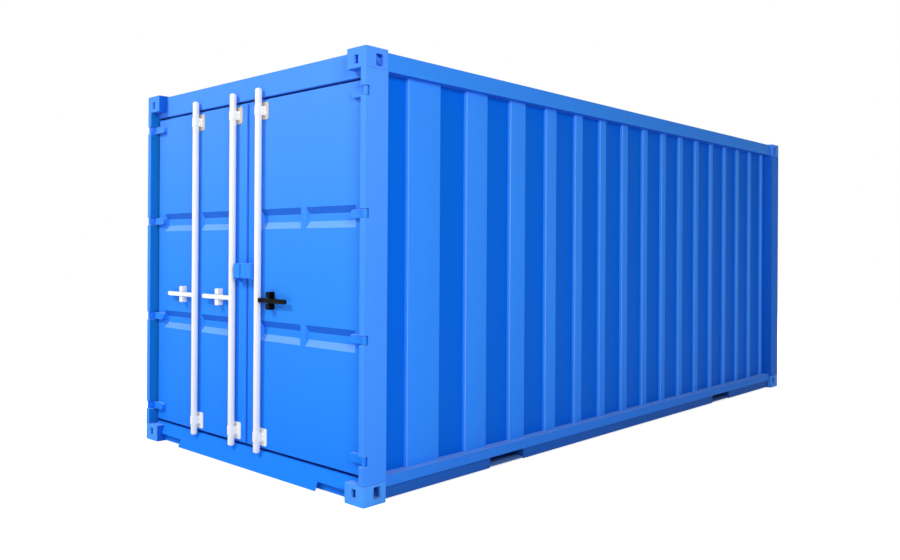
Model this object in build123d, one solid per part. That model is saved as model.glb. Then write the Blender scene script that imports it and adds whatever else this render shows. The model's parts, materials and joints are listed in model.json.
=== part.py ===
from build123d import *

import math
import os

# A 20 ft dry freight container with two full-height end doors.
# Millimetres, +Z up. The origin is at the bottom centre of the envelope.
# +X runs along the length, away from the doors. The left door is on the +Y side.

# Envelope
LENGTH = 6058.0
WIDTH = 2438.0
HEIGHT = 2591.0

# Corner castings: hollow blocks with a lifting slot and two face holes
CASTING_LENGTH = 178.0
CASTING_WIDTH = 162.0
CASTING_HEIGHT = 118.0
CASTING_PLATE = 28.5
CASTING_WALL = 16.0
CASTING_EDGE = 4.0
SLOT_LENGTH = 124.0
SLOT_WIDTH = 63.5
SLOT_FROM_END = 102.5
SLOT_FROM_SIDE = 89.5
FACE_HOLE_LEVEL = 68.0
FACE_HOLE_CORNER = 7.0
SIDE_HOLE_WIDTH = 54.0
SIDE_HOLE_HEIGHT = 70.0
SIDE_HOLE_FROM_END = 106.0
END_HOLE_WIDTH = 50.0
END_HOLE_HEIGHT = 46.0
END_HOLE_FROM_SIDE = 82.0

# Levels of the base and the roof
RAIL_UNDERSIDE = 8.0
SILL_UNDERSIDE = 6.0
SILL_TOP = 132.0
BASE_TOP = 144.0
FLOOR_TOP = 150.0
FLOOR_THICKNESS = 28.0
HEADER_DROP = 6.0
HEADER_HEIGHT = 149.0
RAIL_DROP = 9.0

# How far the end frames and the side rails stand back from the castings
END_RECESS = 66.0
SIDE_RECESS = 20.0

# Door posts: a front flange beside the door and a jamb behind it
FLANGE_WIDTH = 43.0
JAMB_INNER_FROM_SIDE = 119.0

# Blind end posts
BLIND_POST_WIDTH = 119.0
BLIND_POST_WALL = 6.0

# Rails, header and sill sections
RAIL_WIDTH = 60.0
RAIL_WALL = 4.0
END_RAIL_WALL = 5.0
HEADER_LIP = 45.0
LEDGE_FACE_HEIGHT = 64.0
LEDGE_INNER_FROM_FACE = 86.0
LOWER_WEB_SETBACK = 12.0
LOWER_FLANGE = 40.0
BASE_PLATE = 6.0
SILL_TOE_RECESS = 12.0
SILL_NOTCH_LENGTH = 280.0
SILL_NOTCH_HEIGHT = 52.0
SILL_BACKING_SETBACK = 30.0
SILL_BACKING_EXTRA_LENGTH = 90.0

# Corrugated sheets
SHEET = 2.0
WALL_SETBACK = 42.0
WALL_DEPTH = 24.0
WALL_SLOPE_RUN = 6.0
WALL_START = 227.0
WALL_TROUGH_WIDTH = 243.0
WALL_CREST_WIDTHS = (293.0, 221.0, 179.0, 137.0, 105.0, 95.0, 95.0, 85.0, 80.0, 80.0, 75.0, 60.0)
WALL_END_FLAT = 60.0
END_WALL_PITCH = 250.0
END_WALL_CREST_WIDTH = 110.0
END_WALL_END_FLAT = 100.0
ROOF_DROP = 13.0
ROOF_DEPTH = 20.0
ROOF_SLOPE_RUN = 18.0
ROOF_PITCH = 209.0
ROOF_CREST_WIDTH = 95.0
ROOF_END_FLAT = 30.0

# Floor and underframe
BOARD_GAP = 3.0
BOARD_ROWS = 5
MEMBER_WIDTH = 45.0
MEMBER_WALL = 4.5
MEMBER_PITCH = 300.0
POCKET_CLEAR_WIDTH = 360.0
POCKET_PLATE = 6.0
POCKET_CLEAR_HEIGHT = 60.0
POCKET_FROM_END = 1348.0

# Doors
DOOR_EDGE_GAP = 22.0
DOOR_HINGE_GAP = 14.0
DOOR_CENTRE_GAP = 26.0
DOOR_THICKNESS = 58.0
DOOR_STOP_GAP = 5.0
DOOR_SKIN = 3.0
STILE_WIDTH = 70.0
DOOR_RAIL_HEIGHT = 110.0
DOOR_TUBE_WALL = 5.0
GASKET_LIP = 8.0
GASKET_WIDTH = 25.0
GASKET_SETBACK = 13.0

# Pressed grooves in the door skin
GROOVE_FROM_DOOR_BOTTOM = 762.0
GROOVE_FROM_DOOR_TOP = 774.0
GROOVE_HEIGHT = 130.0
GROOVE_DEPTH = 18.0
GROOVE_SLOPE = 42.0
GROOVE_END_SLOPE = 14.0
GROOVE_HINGE_MARGIN = 92.0
GROOVE_FREE_MARGIN = 150.0
GROOVE_SPLIT_FROM_CENTRE = 590.0
GROOVE_SPLIT_WIDTH = 50.0

# Hinges: a pin in each post, a knuckle and blade on each door
HINGES_FROM_DOOR_BOTTOM = (102.0, 781.0)
HINGES_FROM_DOOR_TOP = (764.0, 74.0)
PIN_SETBACK = 14.5
PIN_RADIUS = 7.0
PIN_FIT = 0.25
KNUCKLE_RADIUS = 12.0
BLADE_HEIGHT = 50.0
BLADE_OFFSET = 26.0
BLADE_THICKNESS = 12.0
BLADE_REACH = 149.0
BLADE_PAD_START = 55.0
BLADE_END_CORNER = 9.0
HINGE_GAP = 2.0
SWING_GAP = 5.0

# Lock bars
BAR_RADIUS = 22.5
BAR_BELOW_SILL_TOP = 12.0
BAR_OVER_HEADER = 56.0
BAR_END_ROUNDING = ((12.0, 0.0), (5.0, 5.0), (0.0, 13.0))
BAR_DOOR_GAP = 7.0
BAR_FROM_CENTRE = {"left_outer": 602.0, "left_inner": 137.0, "right_inner": -154.0}
BRACKET_WIDTH = 146.0
BRACKET_HEIGHT = 114.0
BRACKET_PLATE = 5.0
BRACKET_CORNER = 9.0
BRACKET_FROM_DOOR_BOTTOM = 71.0
BRACKET_FROM_DOOR_TOP = 70.0
STRAP_THICKNESS = 3.5
STRAP_HEIGHT = 60.0
STRAP_FOOT = 22.0
STRAP_FIT = 0.3

# Handles and their retainers
HANDLE_LEVEL = 1115.0
HANDLE_LENGTH = {"left_outer": 355.0, "left_inner": 355.0, "right_inner": 312.0}
HANDLE_HEIGHT = 30.0
HANDLE_THICKNESS = 12.0
HANDLE_FORWARD = 6.0
HANDLE_TIP_ROUND = 14.5
RETAINER_FROM_BAR = {"left_outer": 172.0, "left_inner": 172.0, "right_inner": 125.0}
RETAINER_WIDTH = 42.0
RETAINER_HEIGHT = 115.0
RETAINER_GAP = 3.0
RETAINER_ROUND = 8.0
RETAINER_BACK_GAP = 6.0

# Padlock box over the centre gap, in two halves
LOCK_BOX_ABOVE_HANDLE = 108.0
LOCK_BOX_HEIGHT = 127.0
LOCK_BOX_DEPTH = 61.0
LOCK_BOX_WALL = 5.0
LOCK_BOX_SLOPE = 30.0
LOCK_BOX_GAP = 5.0
LOCK_BOX_RIGHT = 112.0
LOCK_BOX_LEFT = 71.0

# How far a cutting block passes the face that it cuts
CUT_MARGIN = 1.0

# Planes that the sizes above lead to
DOOR_END = -LENGTH / 2
BLIND_END = LENGTH / 2
SIDE = WIDTH / 2
UNDERSIDE = RAIL_UNDERSIDE + BASE_PLATE
FRAME_FACE = DOOR_END + END_RECESS
SILL_TOE = DOOR_END + SILL_TOE_RECESS
FRAME_INNER = DOOR_END + CASTING_LENGTH
BLIND_FACE = BLIND_END - END_RECESS
BLIND_INNER = BLIND_END - CASTING_LENGTH
RAIL_FACE = SIDE - SIDE_RECESS
CASTING_INNER = SIDE - CASTING_WIDTH
CASTING_UNDER = HEIGHT - CASTING_HEIGHT
HEADER_TOP = HEIGHT - HEADER_DROP
HEADER_BOTTOM = HEADER_TOP - HEADER_HEIGHT
RAIL_TOP = HEIGHT - RAIL_DROP
ROOF_LEVEL = HEIGHT - ROOF_DROP
FLANGE_INNER = SIDE - FLANGE_WIDTH
JAMB_INNER = SIDE - JAMB_INNER_FROM_SIDE
WALL_CREST_FACE = RAIL_FACE - WALL_SETBACK
LEDGE_INNER = RAIL_FACE - LEDGE_INNER_FROM_FACE
LOWER_WEB_FACE = RAIL_FACE - LOWER_WEB_SETBACK
FLOOR_BOTTOM = FLOOR_TOP - FLOOR_THICKNESS
DOOR_HINGE_EDGE = FLANGE_INNER - DOOR_HINGE_GAP
DOOR_FREE_EDGE = DOOR_CENTRE_GAP / 2
DOOR_BOTTOM = SILL_TOP + DOOR_EDGE_GAP
DOOR_TOP = HEADER_BOTTOM - DOOR_EDGE_GAP
DOOR_INNER = FRAME_FACE + DOOR_THICKNESS
STOP_FACE = DOOR_INNER + DOOR_STOP_GAP
PIN_X = DOOR_END + PIN_SETBACK
PIN_Y = SIDE - PIN_SETBACK
BAR_X = FRAME_FACE - BAR_DOOR_GAP - BAR_RADIUS
BAR_BOTTOM = SILL_TOP - BAR_BELOW_SILL_TOP
BAR_TOP = HEADER_BOTTOM + BAR_OVER_HEADER
LOCK_BOX_BOTTOM = HANDLE_LEVEL + LOCK_BOX_ABOVE_HANDLE
LOCK_BOX_TOP = LOCK_BOX_BOTTOM + LOCK_BOX_HEIGHT

# Levels on the doors, measured from the nearer end of the door
GROOVE_LEVELS = (DOOR_BOTTOM + GROOVE_FROM_DOOR_BOTTOM, DOOR_TOP - GROOVE_FROM_DOOR_TOP)
LOW_HINGE_LEVELS = [DOOR_BOTTOM + distance for distance in HINGES_FROM_DOOR_BOTTOM]
HIGH_HINGE_LEVELS = [DOOR_TOP - distance for distance in HINGES_FROM_DOOR_TOP]
HINGE_LEVELS = LOW_HINGE_LEVELS + HIGH_HINGE_LEVELS
BRACKET_LEVELS = {
    "lower": DOOR_BOTTOM + BRACKET_FROM_DOOR_BOTTOM,
    "upper": DOOR_TOP - BRACKET_FROM_DOOR_TOP,
}


def block(x_span, y_span, z_span):
    """A box between the low and high values given for each axis."""
    spans = (x_span, y_span, z_span)
    size = [abs(high - low) for low, high in spans]
    centre = [(high + low) / 2 for low, high in spans]
    return Pos(*centre) * Box(*size)


def prism_along_z(points, z_span):
    """An upright prism over an outline given as (x, y) points."""
    outline = make_face(Polyline(*points, close=True))
    return Pos(0, 0, z_span[0]) * extrude(outline, z_span[1] - z_span[0], dir=(0, 0, 1))


def prism_along_x(points, x_span):
    """A prism along X over an outline given as (y, z) points."""
    outline = make_face(Polyline(*[(x_span[0], y, z) for y, z in points], close=True))
    return extrude(outline, x_span[1] - x_span[0], dir=(1, 0, 0))


def prism_along_y(points, y_span):
    """A prism along Y over an outline given as (x, z) points."""
    outline = make_face(Polyline(*[(x, y_span[0], z) for x, z in points], close=True))
    return extrude(outline, y_span[1] - y_span[0], dir=(0, 1, 0))


def cylinder_along_z(radius, x, y, z_span):
    """An upright cylinder between two levels."""
    middle = (z_span[0] + z_span[1]) / 2
    return Pos(x, y, middle) * Cylinder(radius, z_span[1] - z_span[0])


def mirrored(shape):
    """The same piece on the other side of the container."""
    return mirror(shape, about=Plane.XZ)


def sheet_outline(points, thickness):
    """The closed outline of a sheet whose right-hand face follows the points, mitred at bends."""
    count = len(points)
    normals = []
    for (x0, y0), (x1, y1) in zip(points, points[1:]):
        run = math.hypot(x1 - x0, y1 - y0)
        normals.append((-(y1 - y0) / run, (x1 - x0) / run))
    back = []
    for index in range(count):
        before = normals[max(index - 1, 0)]
        after = normals[min(index, count - 2)]
        share = 1 + before[0] * after[0] + before[1] * after[1]
        shift = (before[0] + after[0]) / share, (before[1] + after[1]) / share
        x, y = points[index]
        back.append((x + thickness * shift[0], y + thickness * shift[1]))
    return list(points) + back[::-1]


def wave(start, end, low, high, crests, slope_run):
    """Points of a pressed wave from start to end: crests is a list of (left edge, width)."""
    points = [(start, low)]
    for left, width in crests:
        points.append((left, low))
        points.append((left + slope_run, high))
        points.append((left + width - slope_run, high))
        points.append((left + width, low))
    points.append((end, low))
    return points


def even_crests(reach, width, pitch):
    """Crests at one pitch as (left edge, width), as many as fit within a reach of the middle."""
    gaps = int((2 * reach - width) // pitch)
    first = -(gaps * pitch + width) / 2
    return [(first + index * pitch, width) for index in range(gaps + 1)]


def window(width, height, depth, corner):
    """A block with cut corners along its depth, for a hole through a plate."""
    outline = chamfer(Rectangle(width, height).vertices(), corner)
    return extrude(outline, depth / 2, both=True)


def corner_casting(top):
    """The casting at the door end of the left side, at the top or the bottom."""
    low = HEIGHT - CASTING_HEIGHT if top else 0.0
    outer = block((DOOR_END, FRAME_INNER), (CASTING_INNER, SIDE), (low, low + CASTING_HEIGHT))
    outer = chamfer(outer.edges().filter_by(Axis.Z), CASTING_EDGE)
    plate_low = CASTING_WALL if top else CASTING_PLATE
    plate_high = CASTING_PLATE if top else CASTING_WALL
    cavity = block(
        (DOOR_END + CASTING_WALL, FRAME_INNER - CASTING_WALL),
        (CASTING_INNER + CASTING_WALL, SIDE - CASTING_WALL),
        (low + plate_low, low + CASTING_HEIGHT - plate_high),
    )
    slot_x = DOOR_END + SLOT_FROM_END
    slot_y = SIDE - SLOT_FROM_SIDE
    slot_z = low + CASTING_HEIGHT - CASTING_PLATE / 2 if top else CASTING_PLATE / 2
    slot = Pos(slot_x, slot_y, slot_z) * extrude(
        SlotOverall(SLOT_LENGTH, SLOT_WIDTH), CASTING_PLATE, both=True
    )
    level = low + CASTING_HEIGHT - FACE_HOLE_LEVEL if top else FACE_HOLE_LEVEL
    side_hole = (
        Pos(DOOR_END + SIDE_HOLE_FROM_END, SIDE, level)
        * Rot(90, 0, 0)
        * window(SIDE_HOLE_WIDTH, SIDE_HOLE_HEIGHT, 2 * (CASTING_WALL + CUT_MARGIN), FACE_HOLE_CORNER)
    )
    end_hole = (
        Pos(DOOR_END, SIDE - END_HOLE_FROM_SIDE, level)
        * Rot(90, 0, 90)
        * window(END_HOLE_WIDTH, END_HOLE_HEIGHT, 2 * (CASTING_WALL + CUT_MARGIN), FACE_HOLE_CORNER)
    )
    return outer - cavity - slot - side_hole - end_hole


def casting_set(top):
    """The four castings of one level, as mirror copies of the first."""
    first = corner_casting(top)
    pair = [first, mirrored(first)]
    return pair + [mirror(piece, about=Plane.YZ) for piece in pair]


def hinge_notch(level):
    """What a hinge needs cut out of a door post for its full swing."""
    half = BLADE_HEIGHT / 2 + HINGE_GAP
    z_span = (level - half, level + half)
    reach = math.hypot(BLADE_OFFSET + BLADE_THICKNESS, KNUCKLE_RADIUS) + SWING_GAP
    front_x = (DOOR_END - CUT_MARGIN, PIN_X + reach)
    front = block(front_x, (FLANGE_INNER - CUT_MARGIN, PIN_Y + SWING_GAP), z_span)
    outer_x = (DOOR_END - CUT_MARGIN, PIN_X + KNUCKLE_RADIUS + SWING_GAP)
    outer = block(outer_x, (PIN_Y, SIDE + CUT_MARGIN), z_span)
    return front + outer


def door_post():
    """The left door post: front flange, side face and the jamb behind the door."""
    outline = [
        (DOOR_END, FLANGE_INNER),
        (DOOR_END, SIDE),
        (FRAME_INNER, SIDE),
        (FRAME_INNER, JAMB_INNER),
        (STOP_FACE, JAMB_INNER),
        (STOP_FACE, FLANGE_INNER),
    ]
    post = prism_along_z(outline, (CASTING_HEIGHT, CASTING_UNDER))
    for level in HINGE_LEVELS:
        post -= hinge_notch(level)
    return post


def hinge_pins():
    """The four fixed pins of the left door, one across each notch."""
    half = BLADE_HEIGHT / 2 + HINGE_GAP
    return [
        cylinder_along_z(PIN_RADIUS, PIN_X, PIN_Y, (level - half, level + half))
        for level in HINGE_LEVELS
    ]


def blind_post():
    """The left post of the blind end, a square tube between its castings."""
    z_span = (CASTING_HEIGHT, CASTING_UNDER)
    outer = block((BLIND_INNER, BLIND_END), (SIDE - BLIND_POST_WIDTH, SIDE), z_span)
    inner = block(
        (BLIND_INNER + BLIND_POST_WALL, BLIND_END - BLIND_POST_WALL),
        (SIDE - BLIND_POST_WIDTH + BLIND_POST_WALL, SIDE - BLIND_POST_WALL),
        z_span,
    )
    return outer - inner


def casting_clearance(z_span):
    """Blocks over both door corners that the header and the sill are cut back from."""
    reach = SIDE + CUT_MARGIN
    x_span = (DOOR_END - CUT_MARGIN, FRAME_INNER + CUT_MARGIN)
    left = block(x_span, (CASTING_INNER, reach), z_span)
    return [left, mirrored(left)]


def door_header():
    """The tube over the doors, with a lip behind them that they close against."""
    wall = END_RAIL_WALL
    y_span = (-FLANGE_INNER, FLANGE_INNER)
    tube = block((FRAME_FACE, FRAME_INNER), y_span, (HEADER_BOTTOM, HEADER_TOP))
    tube -= block(
        (FRAME_FACE + wall, FRAME_INNER - wall), y_span, (HEADER_BOTTOM + wall, HEADER_TOP - wall)
    )
    jamb_span = (-JAMB_INNER, JAMB_INNER)
    lip = block((STOP_FACE, FRAME_INNER), jamb_span, (HEADER_BOTTOM - HEADER_LIP, HEADER_BOTTOM))
    tube += lip
    for corner in casting_clearance((CASTING_UNDER, HEIGHT)):
        tube -= corner
    for side in (1, -1):
        jamb_y = sorted((side * JAMB_INNER, side * SIDE))
        jamb_z = (HEADER_BOTTOM - CUT_MARGIN, CASTING_UNDER)
        tube -= block((STOP_FACE, FRAME_INNER), jamb_y, jamb_z)
    return tube


def sill_face_x(z):
    """Where the sloping face of the sill stands at one level."""
    share = (SILL_TOP - z) / (SILL_TOP - SILL_UNDERSIDE)
    return FRAME_FACE + share * (SILL_TOE - FRAME_FACE)


def door_sill():
    """The sill under the doors: a pressed channel open downwards, with a face sloping forward."""
    plate = BASE_PLATE
    path = [
        (FRAME_INNER, SILL_UNDERSIDE),
        (FRAME_INNER, SILL_TOP),
        (FRAME_FACE, SILL_TOP),
        (SILL_TOE, SILL_UNDERSIDE),
    ]
    sill = prism_along_y(sheet_outline(path, plate), (-FLANGE_INNER, FLANGE_INNER))
    threshold = block((STOP_FACE, FRAME_INNER), (-JAMB_INNER, JAMB_INNER), (SILL_TOP, FLOOR_TOP))
    sill += threshold
    for corner in casting_clearance((-CUT_MARGIN, CASTING_HEIGHT)):
        sill -= corner
    for side in (1, -1):
        jamb_y = sorted((side * JAMB_INNER, side * SIDE))
        sill -= block((STOP_FACE, FRAME_INNER), jamb_y, (CASTING_HEIGHT, SILL_TOP + CUT_MARGIN))
        sill -= sill_notch(side)
        sill += sill_backing(side)
    return sill


def sill_notch(side):
    """What is cut out of the foot of the sill's face beside one casting."""
    notch_top = SILL_UNDERSIDE + SILL_NOTCH_HEIGHT
    notch_x = (DOOR_END, sill_face_x(notch_top) + 2 * BASE_PLATE)
    notch_y = sorted((side * CASTING_INNER, side * (CASTING_INNER - SILL_NOTCH_LENGTH)))
    return block(notch_x, notch_y, (-CUT_MARGIN, notch_top))


def sill_backing(side):
    """The plate behind one notch of the sill, longer than the notch towards the middle."""
    low_x = sill_face_x(SILL_UNDERSIDE + SILL_NOTCH_HEIGHT) + SILL_BACKING_SETBACK
    length = SILL_NOTCH_LENGTH + SILL_BACKING_EXTRA_LENGTH
    backing_y = sorted((side * CASTING_INNER, side * (CASTING_INNER - length)))
    backing_z = (SILL_UNDERSIDE, SILL_TOP - BASE_PLATE)
    return block((low_x, low_x + BASE_PLATE), backing_y, backing_z)


def blind_top_rail():
    """The tube along the top of the blind end."""
    wall = END_RAIL_WALL
    y_span = (-CASTING_INNER, CASTING_INNER)
    outer = block((BLIND_INNER, BLIND_FACE), y_span, (CASTING_UNDER, RAIL_TOP))
    inner = block(
        (BLIND_INNER + wall, BLIND_FACE - wall), y_span, (CASTING_UNDER + wall, RAIL_TOP - wall)
    )
    return outer - inner


def blind_bottom_rail():
    """The channel along the bottom of the blind end, open downwards, between the castings."""
    plate = BASE_PLATE
    y_span = (-CASTING_INNER, CASTING_INNER)
    rail = block((BLIND_INNER, BLIND_FACE), y_span, (UNDERSIDE, BASE_TOP))
    inner_x = (BLIND_INNER + plate, BLIND_FACE - plate)
    return rail - block(inner_x, y_span, (UNDERSIDE, BASE_TOP - plate))


def top_side_rail():
    """The left top rail, a tube between the castings."""
    wall = RAIL_WALL
    x_span = (FRAME_INNER, BLIND_INNER)
    outer = block(x_span, (RAIL_FACE - RAIL_WIDTH, RAIL_FACE), (CASTING_UNDER, RAIL_TOP))
    inner = block(
        x_span,
        (RAIL_FACE - RAIL_WIDTH + wall, RAIL_FACE - wall),
        (CASTING_UNDER + wall, RAIL_TOP - wall),
    )
    return outer - inner


def pocket_centres():
    """The X of both forklift pockets, set the same way in from each end."""
    return (DOOR_END + POCKET_FROM_END, BLIND_END - POCKET_FROM_END)


def pocket_top():
    """The outer top of the forklift pockets."""
    return UNDERSIDE + POCKET_CLEAR_HEIGHT + 2 * POCKET_PLATE


def bottom_side_rail():
    """The left bottom rail: a pressed section with a ledge, a face and a lower web set back."""
    face_bottom = BASE_TOP - LEDGE_FACE_HEIGHT
    path = [
        (LEDGE_INNER, BASE_TOP),
        (RAIL_FACE, BASE_TOP),
        (RAIL_FACE, face_bottom),
        (LOWER_WEB_FACE, face_bottom),
        (LOWER_WEB_FACE, RAIL_UNDERSIDE),
        (LOWER_WEB_FACE - LOWER_FLANGE, RAIL_UNDERSIDE),
    ]
    outline = sheet_outline(path, -BASE_PLATE)
    rail = prism_along_x(outline, (FRAME_INNER, BLIND_INNER))
    half = POCKET_CLEAR_WIDTH / 2 + POCKET_PLATE
    for centre in pocket_centres():
        x_span = (centre - half, centre + half)
        cut_z = (RAIL_UNDERSIDE - CUT_MARGIN, pocket_top())
        rail -= block(x_span, (0, LOWER_WEB_FACE + CUT_MARGIN), cut_z)
    return rail


def wall_crests():
    """The side wall's crests as (left edge, width), as many as fit; the last width repeats."""
    crests = []
    left = FRAME_INNER + WALL_START
    width = WALL_CREST_WIDTHS[0]
    while left + width < BLIND_INNER - WALL_END_FLAT:
        crests.append((left, width))
        left += width + WALL_TROUGH_WIDTH
        width = WALL_CREST_WIDTHS[min(len(crests), len(WALL_CREST_WIDTHS) - 1)]
    return crests


def side_wall():
    """The left wall sheet, pressed into upright flutes."""
    trough = WALL_CREST_FACE - WALL_DEPTH
    crests = wall_crests()
    path = wave(FRAME_INNER, BLIND_INNER, trough, WALL_CREST_FACE, crests, WALL_SLOPE_RUN)
    return prism_along_z(sheet_outline(path, -SHEET), (BASE_TOP, CASTING_UNDER))


def end_wall():
    """The blind end sheet, pressed into upright flutes, from its rail and castings upwards."""
    crest_x = BLIND_FACE - WALL_SETBACK
    trough_x = crest_x - WALL_DEPTH
    reach = SIDE - BLIND_POST_WIDTH
    crests = even_crests(reach - END_WALL_END_FLAT, END_WALL_CREST_WIDTH, END_WALL_PITCH)
    path = wave(-reach, reach, trough_x, crest_x, crests, WALL_SLOPE_RUN)
    outline = [(x, y) for y, x in sheet_outline(path, -SHEET)]
    sheet = prism_along_z(outline, (CASTING_HEIGHT, CASTING_UNDER))
    over_rail_z = (CASTING_HEIGHT - CUT_MARGIN, BASE_TOP)
    return sheet - block((BLIND_INNER, BLIND_FACE), (-CASTING_INNER, CASTING_INNER), over_rail_z)


def roof_panel():
    """The roof sheet between the top rails, pressed into flutes across the width."""
    trough = ROOF_LEVEL - ROOF_DEPTH
    crests = even_crests(BLIND_INNER - ROOF_END_FLAT, ROOF_CREST_WIDTH, ROOF_PITCH)
    path = wave(FRAME_INNER, BLIND_INNER, trough, ROOF_LEVEL, crests, ROOF_SLOPE_RUN)
    reach = RAIL_FACE - RAIL_WIDTH
    return prism_along_y(sheet_outline(path, -SHEET), (-reach, reach))


def floor_boards():
    """The plywood floor: rows of boards in two columns, with small gaps."""
    boards = []
    half_width = LEDGE_INNER - BOARD_GAP
    step = (BLIND_INNER - FRAME_INNER) / BOARD_ROWS
    for row in range(BOARD_ROWS):
        low_gap = 0 if row == 0 else BOARD_GAP / 2
        high_gap = 0 if row == BOARD_ROWS - 1 else BOARD_GAP / 2
        low = FRAME_INNER + row * step + low_gap
        high = FRAME_INNER + (row + 1) * step - high_gap
        for y_span in ((-half_width, -BOARD_GAP / 2), (BOARD_GAP / 2, half_width)):
            boards.append(block((low, high), y_span, (FLOOR_BOTTOM, FLOOR_TOP)))
    return boards


def cross_member(x):
    """One channel under the floor, its back at x and open towards the blind end."""
    wall = MEMBER_WALL
    low, high = UNDERSIDE, FLOOR_BOTTOM
    profile = [
        (x, low),
        (x + MEMBER_WIDTH, low),
        (x + MEMBER_WIDTH, low + wall),
        (x + wall, low + wall),
        (x + wall, high - wall),
        (x + MEMBER_WIDTH, high - wall),
        (x + MEMBER_WIDTH, high),
        (x, high),
    ]
    reach = LOWER_WEB_FACE - BASE_PLATE
    return prism_along_y(profile, (-reach, reach))


def cross_members():
    """The channels under the floor, left out where the forklift pockets pass."""
    half = POCKET_CLEAR_WIDTH / 2 + POCKET_PLATE
    span = BLIND_INNER - FRAME_INNER
    count = int(span // MEMBER_PITCH)
    first = (FRAME_INNER + BLIND_INNER) / 2 - (count - 1) * MEMBER_PITCH / 2 - MEMBER_WIDTH / 2
    members = []
    for index in range(count):
        x = first + index * MEMBER_PITCH
        near = [abs(x + MEMBER_WIDTH / 2 - centre) for centre in pocket_centres()]
        if min(near) > half + MEMBER_WIDTH:
            members.append(cross_member(x))
    return members


def forklift_pockets():
    """Two flat tubes across the base that take a truck's forks."""
    half = POCKET_CLEAR_WIDTH / 2
    y_span = (-LOWER_WEB_FACE, LOWER_WEB_FACE)
    pockets = []
    for centre in pocket_centres():
        outer_x = (centre - half - POCKET_PLATE, centre + half + POCKET_PLATE)
        outer = block(outer_x, y_span, (UNDERSIDE, pocket_top()))
        clear_z = (UNDERSIDE + POCKET_PLATE, pocket_top() - POCKET_PLATE)
        pockets.append(outer - block((centre - half, centre + half), y_span, clear_z))
    return pockets


def tapered(low, high, slope, depth):
    """The outline of a pan's section from the door face inwards, as (distance in, place) points."""
    face, back = FRAME_FACE, FRAME_FACE + depth
    return [(face, low), (face, high), (back, high - slope), (back, low + slope)]


def groove_shape(y_span, level, depth, grow):
    """A pan with four sloping sides, grown by the skin where it is the metal."""
    low_y, high_y = y_span[0] - grow, y_span[1] + grow
    low_z, high_z = level - GROOVE_HEIGHT / 2 - grow, level + GROOVE_HEIGHT / 2 + grow
    across = prism_along_y(tapered(low_z, high_z, GROOVE_SLOPE, depth), (low_y, high_y))
    along = prism_along_z(tapered(low_y, high_y, GROOVE_END_SLOPE, depth), (low_z, high_z))
    return across & along


def door_skin():
    """The left door's outer sheet with its pressed grooves."""
    skin = block(
        (FRAME_FACE, FRAME_FACE + DOOR_SKIN),
        (DOOR_FREE_EDGE, DOOR_HINGE_EDGE),
        (DOOR_BOTTOM, DOOR_TOP),
    )
    half_split = GROOVE_SPLIT_WIDTH / 2
    spans = [
        (GROOVE_FREE_MARGIN, GROOVE_SPLIT_FROM_CENTRE - half_split),
        (GROOVE_SPLIT_FROM_CENTRE + half_split, DOOR_HINGE_EDGE - GROOVE_HINGE_MARGIN),
    ]
    for level in GROOVE_LEVELS:
        for span in spans:
            skin += groove_shape(span, level, GROOVE_DEPTH + DOOR_SKIN, DOOR_SKIN)
    for level in GROOVE_LEVELS:
        for span in spans:
            skin -= groove_shape(span, level, GROOVE_DEPTH, 0)
    return skin


def door_tube(y_span, z_span, along):
    """One tube of a door's frame, open at its ends."""
    wall = DOOR_TUBE_WALL
    x_span = (FRAME_FACE + DOOR_SKIN, DOOR_INNER)
    inner_x = (x_span[0] + wall, x_span[1] - wall)
    outer = block(x_span, y_span, z_span)
    if along == "z":
        return outer - block(inner_x, (y_span[0] + wall, y_span[1] - wall), z_span)
    return outer - block(inner_x, y_span, (z_span[0] + wall, z_span[1] - wall))


def door_stiles():
    """The left door's two upright tubes."""
    z_span = (DOOR_BOTTOM, DOOR_TOP)
    free = door_tube((DOOR_FREE_EDGE, DOOR_FREE_EDGE + STILE_WIDTH), z_span, "z")
    hinge = door_tube((DOOR_HINGE_EDGE - STILE_WIDTH, DOOR_HINGE_EDGE), z_span, "z")
    return [free, hinge]


def door_rails():
    """The left door's two level tubes, between the upright ones."""
    y_span = (DOOR_FREE_EDGE + STILE_WIDTH, DOOR_HINGE_EDGE - STILE_WIDTH)
    low = door_tube(y_span, (DOOR_BOTTOM, DOOR_BOTTOM + DOOR_RAIL_HEIGHT), "y")
    high = door_tube(y_span, (DOOR_TOP - DOOR_RAIL_HEIGHT, DOOR_TOP), "y")
    return [low, high]


def door_gasket():
    """The rubber strip round the left door's edge."""
    x_low = FRAME_FACE + GASKET_SETBACK
    x_span = (x_low, x_low + GASKET_WIDTH)
    outer = block(
        x_span,
        (DOOR_FREE_EDGE - GASKET_LIP, DOOR_HINGE_EDGE + GASKET_LIP),
        (DOOR_BOTTOM - GASKET_LIP, DOOR_TOP + GASKET_LIP),
    )
    return outer - block(x_span, (DOOR_FREE_EDGE, DOOR_HINGE_EDGE), (DOOR_BOTTOM, DOOR_TOP))


def hinge_blade(level):
    """One hinge of the left door: knuckle, neck, blade and the pad it is welded on."""
    half = BLADE_HEIGHT / 2
    z_span = (level - half, level + half)
    knuckle = cylinder_along_z(KNUCKLE_RADIUS, PIN_X, PIN_Y, z_span)
    blade_back = PIN_X + BLADE_OFFSET + BLADE_THICKNESS
    neck = block((PIN_X, blade_back), (PIN_Y - KNUCKLE_RADIUS, PIN_Y), z_span)
    blade = block((PIN_X + BLADE_OFFSET, blade_back), (PIN_Y - BLADE_REACH, PIN_Y), z_span)
    pad_y = (PIN_Y - BLADE_REACH, PIN_Y - BLADE_PAD_START)
    pad = block((blade_back, FRAME_FACE), pad_y, z_span)
    hinge = knuckle + neck + blade + pad
    inner_end = hinge.faces().sort_by(Axis.Y)[0]
    round_edges = inner_end.edges().filter_by(Axis.X)
    hinge = chamfer(round_edges, BLADE_END_CORNER)
    return hinge - cylinder_along_z(PIN_RADIUS + PIN_FIT, PIN_X, PIN_Y, z_span)


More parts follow.
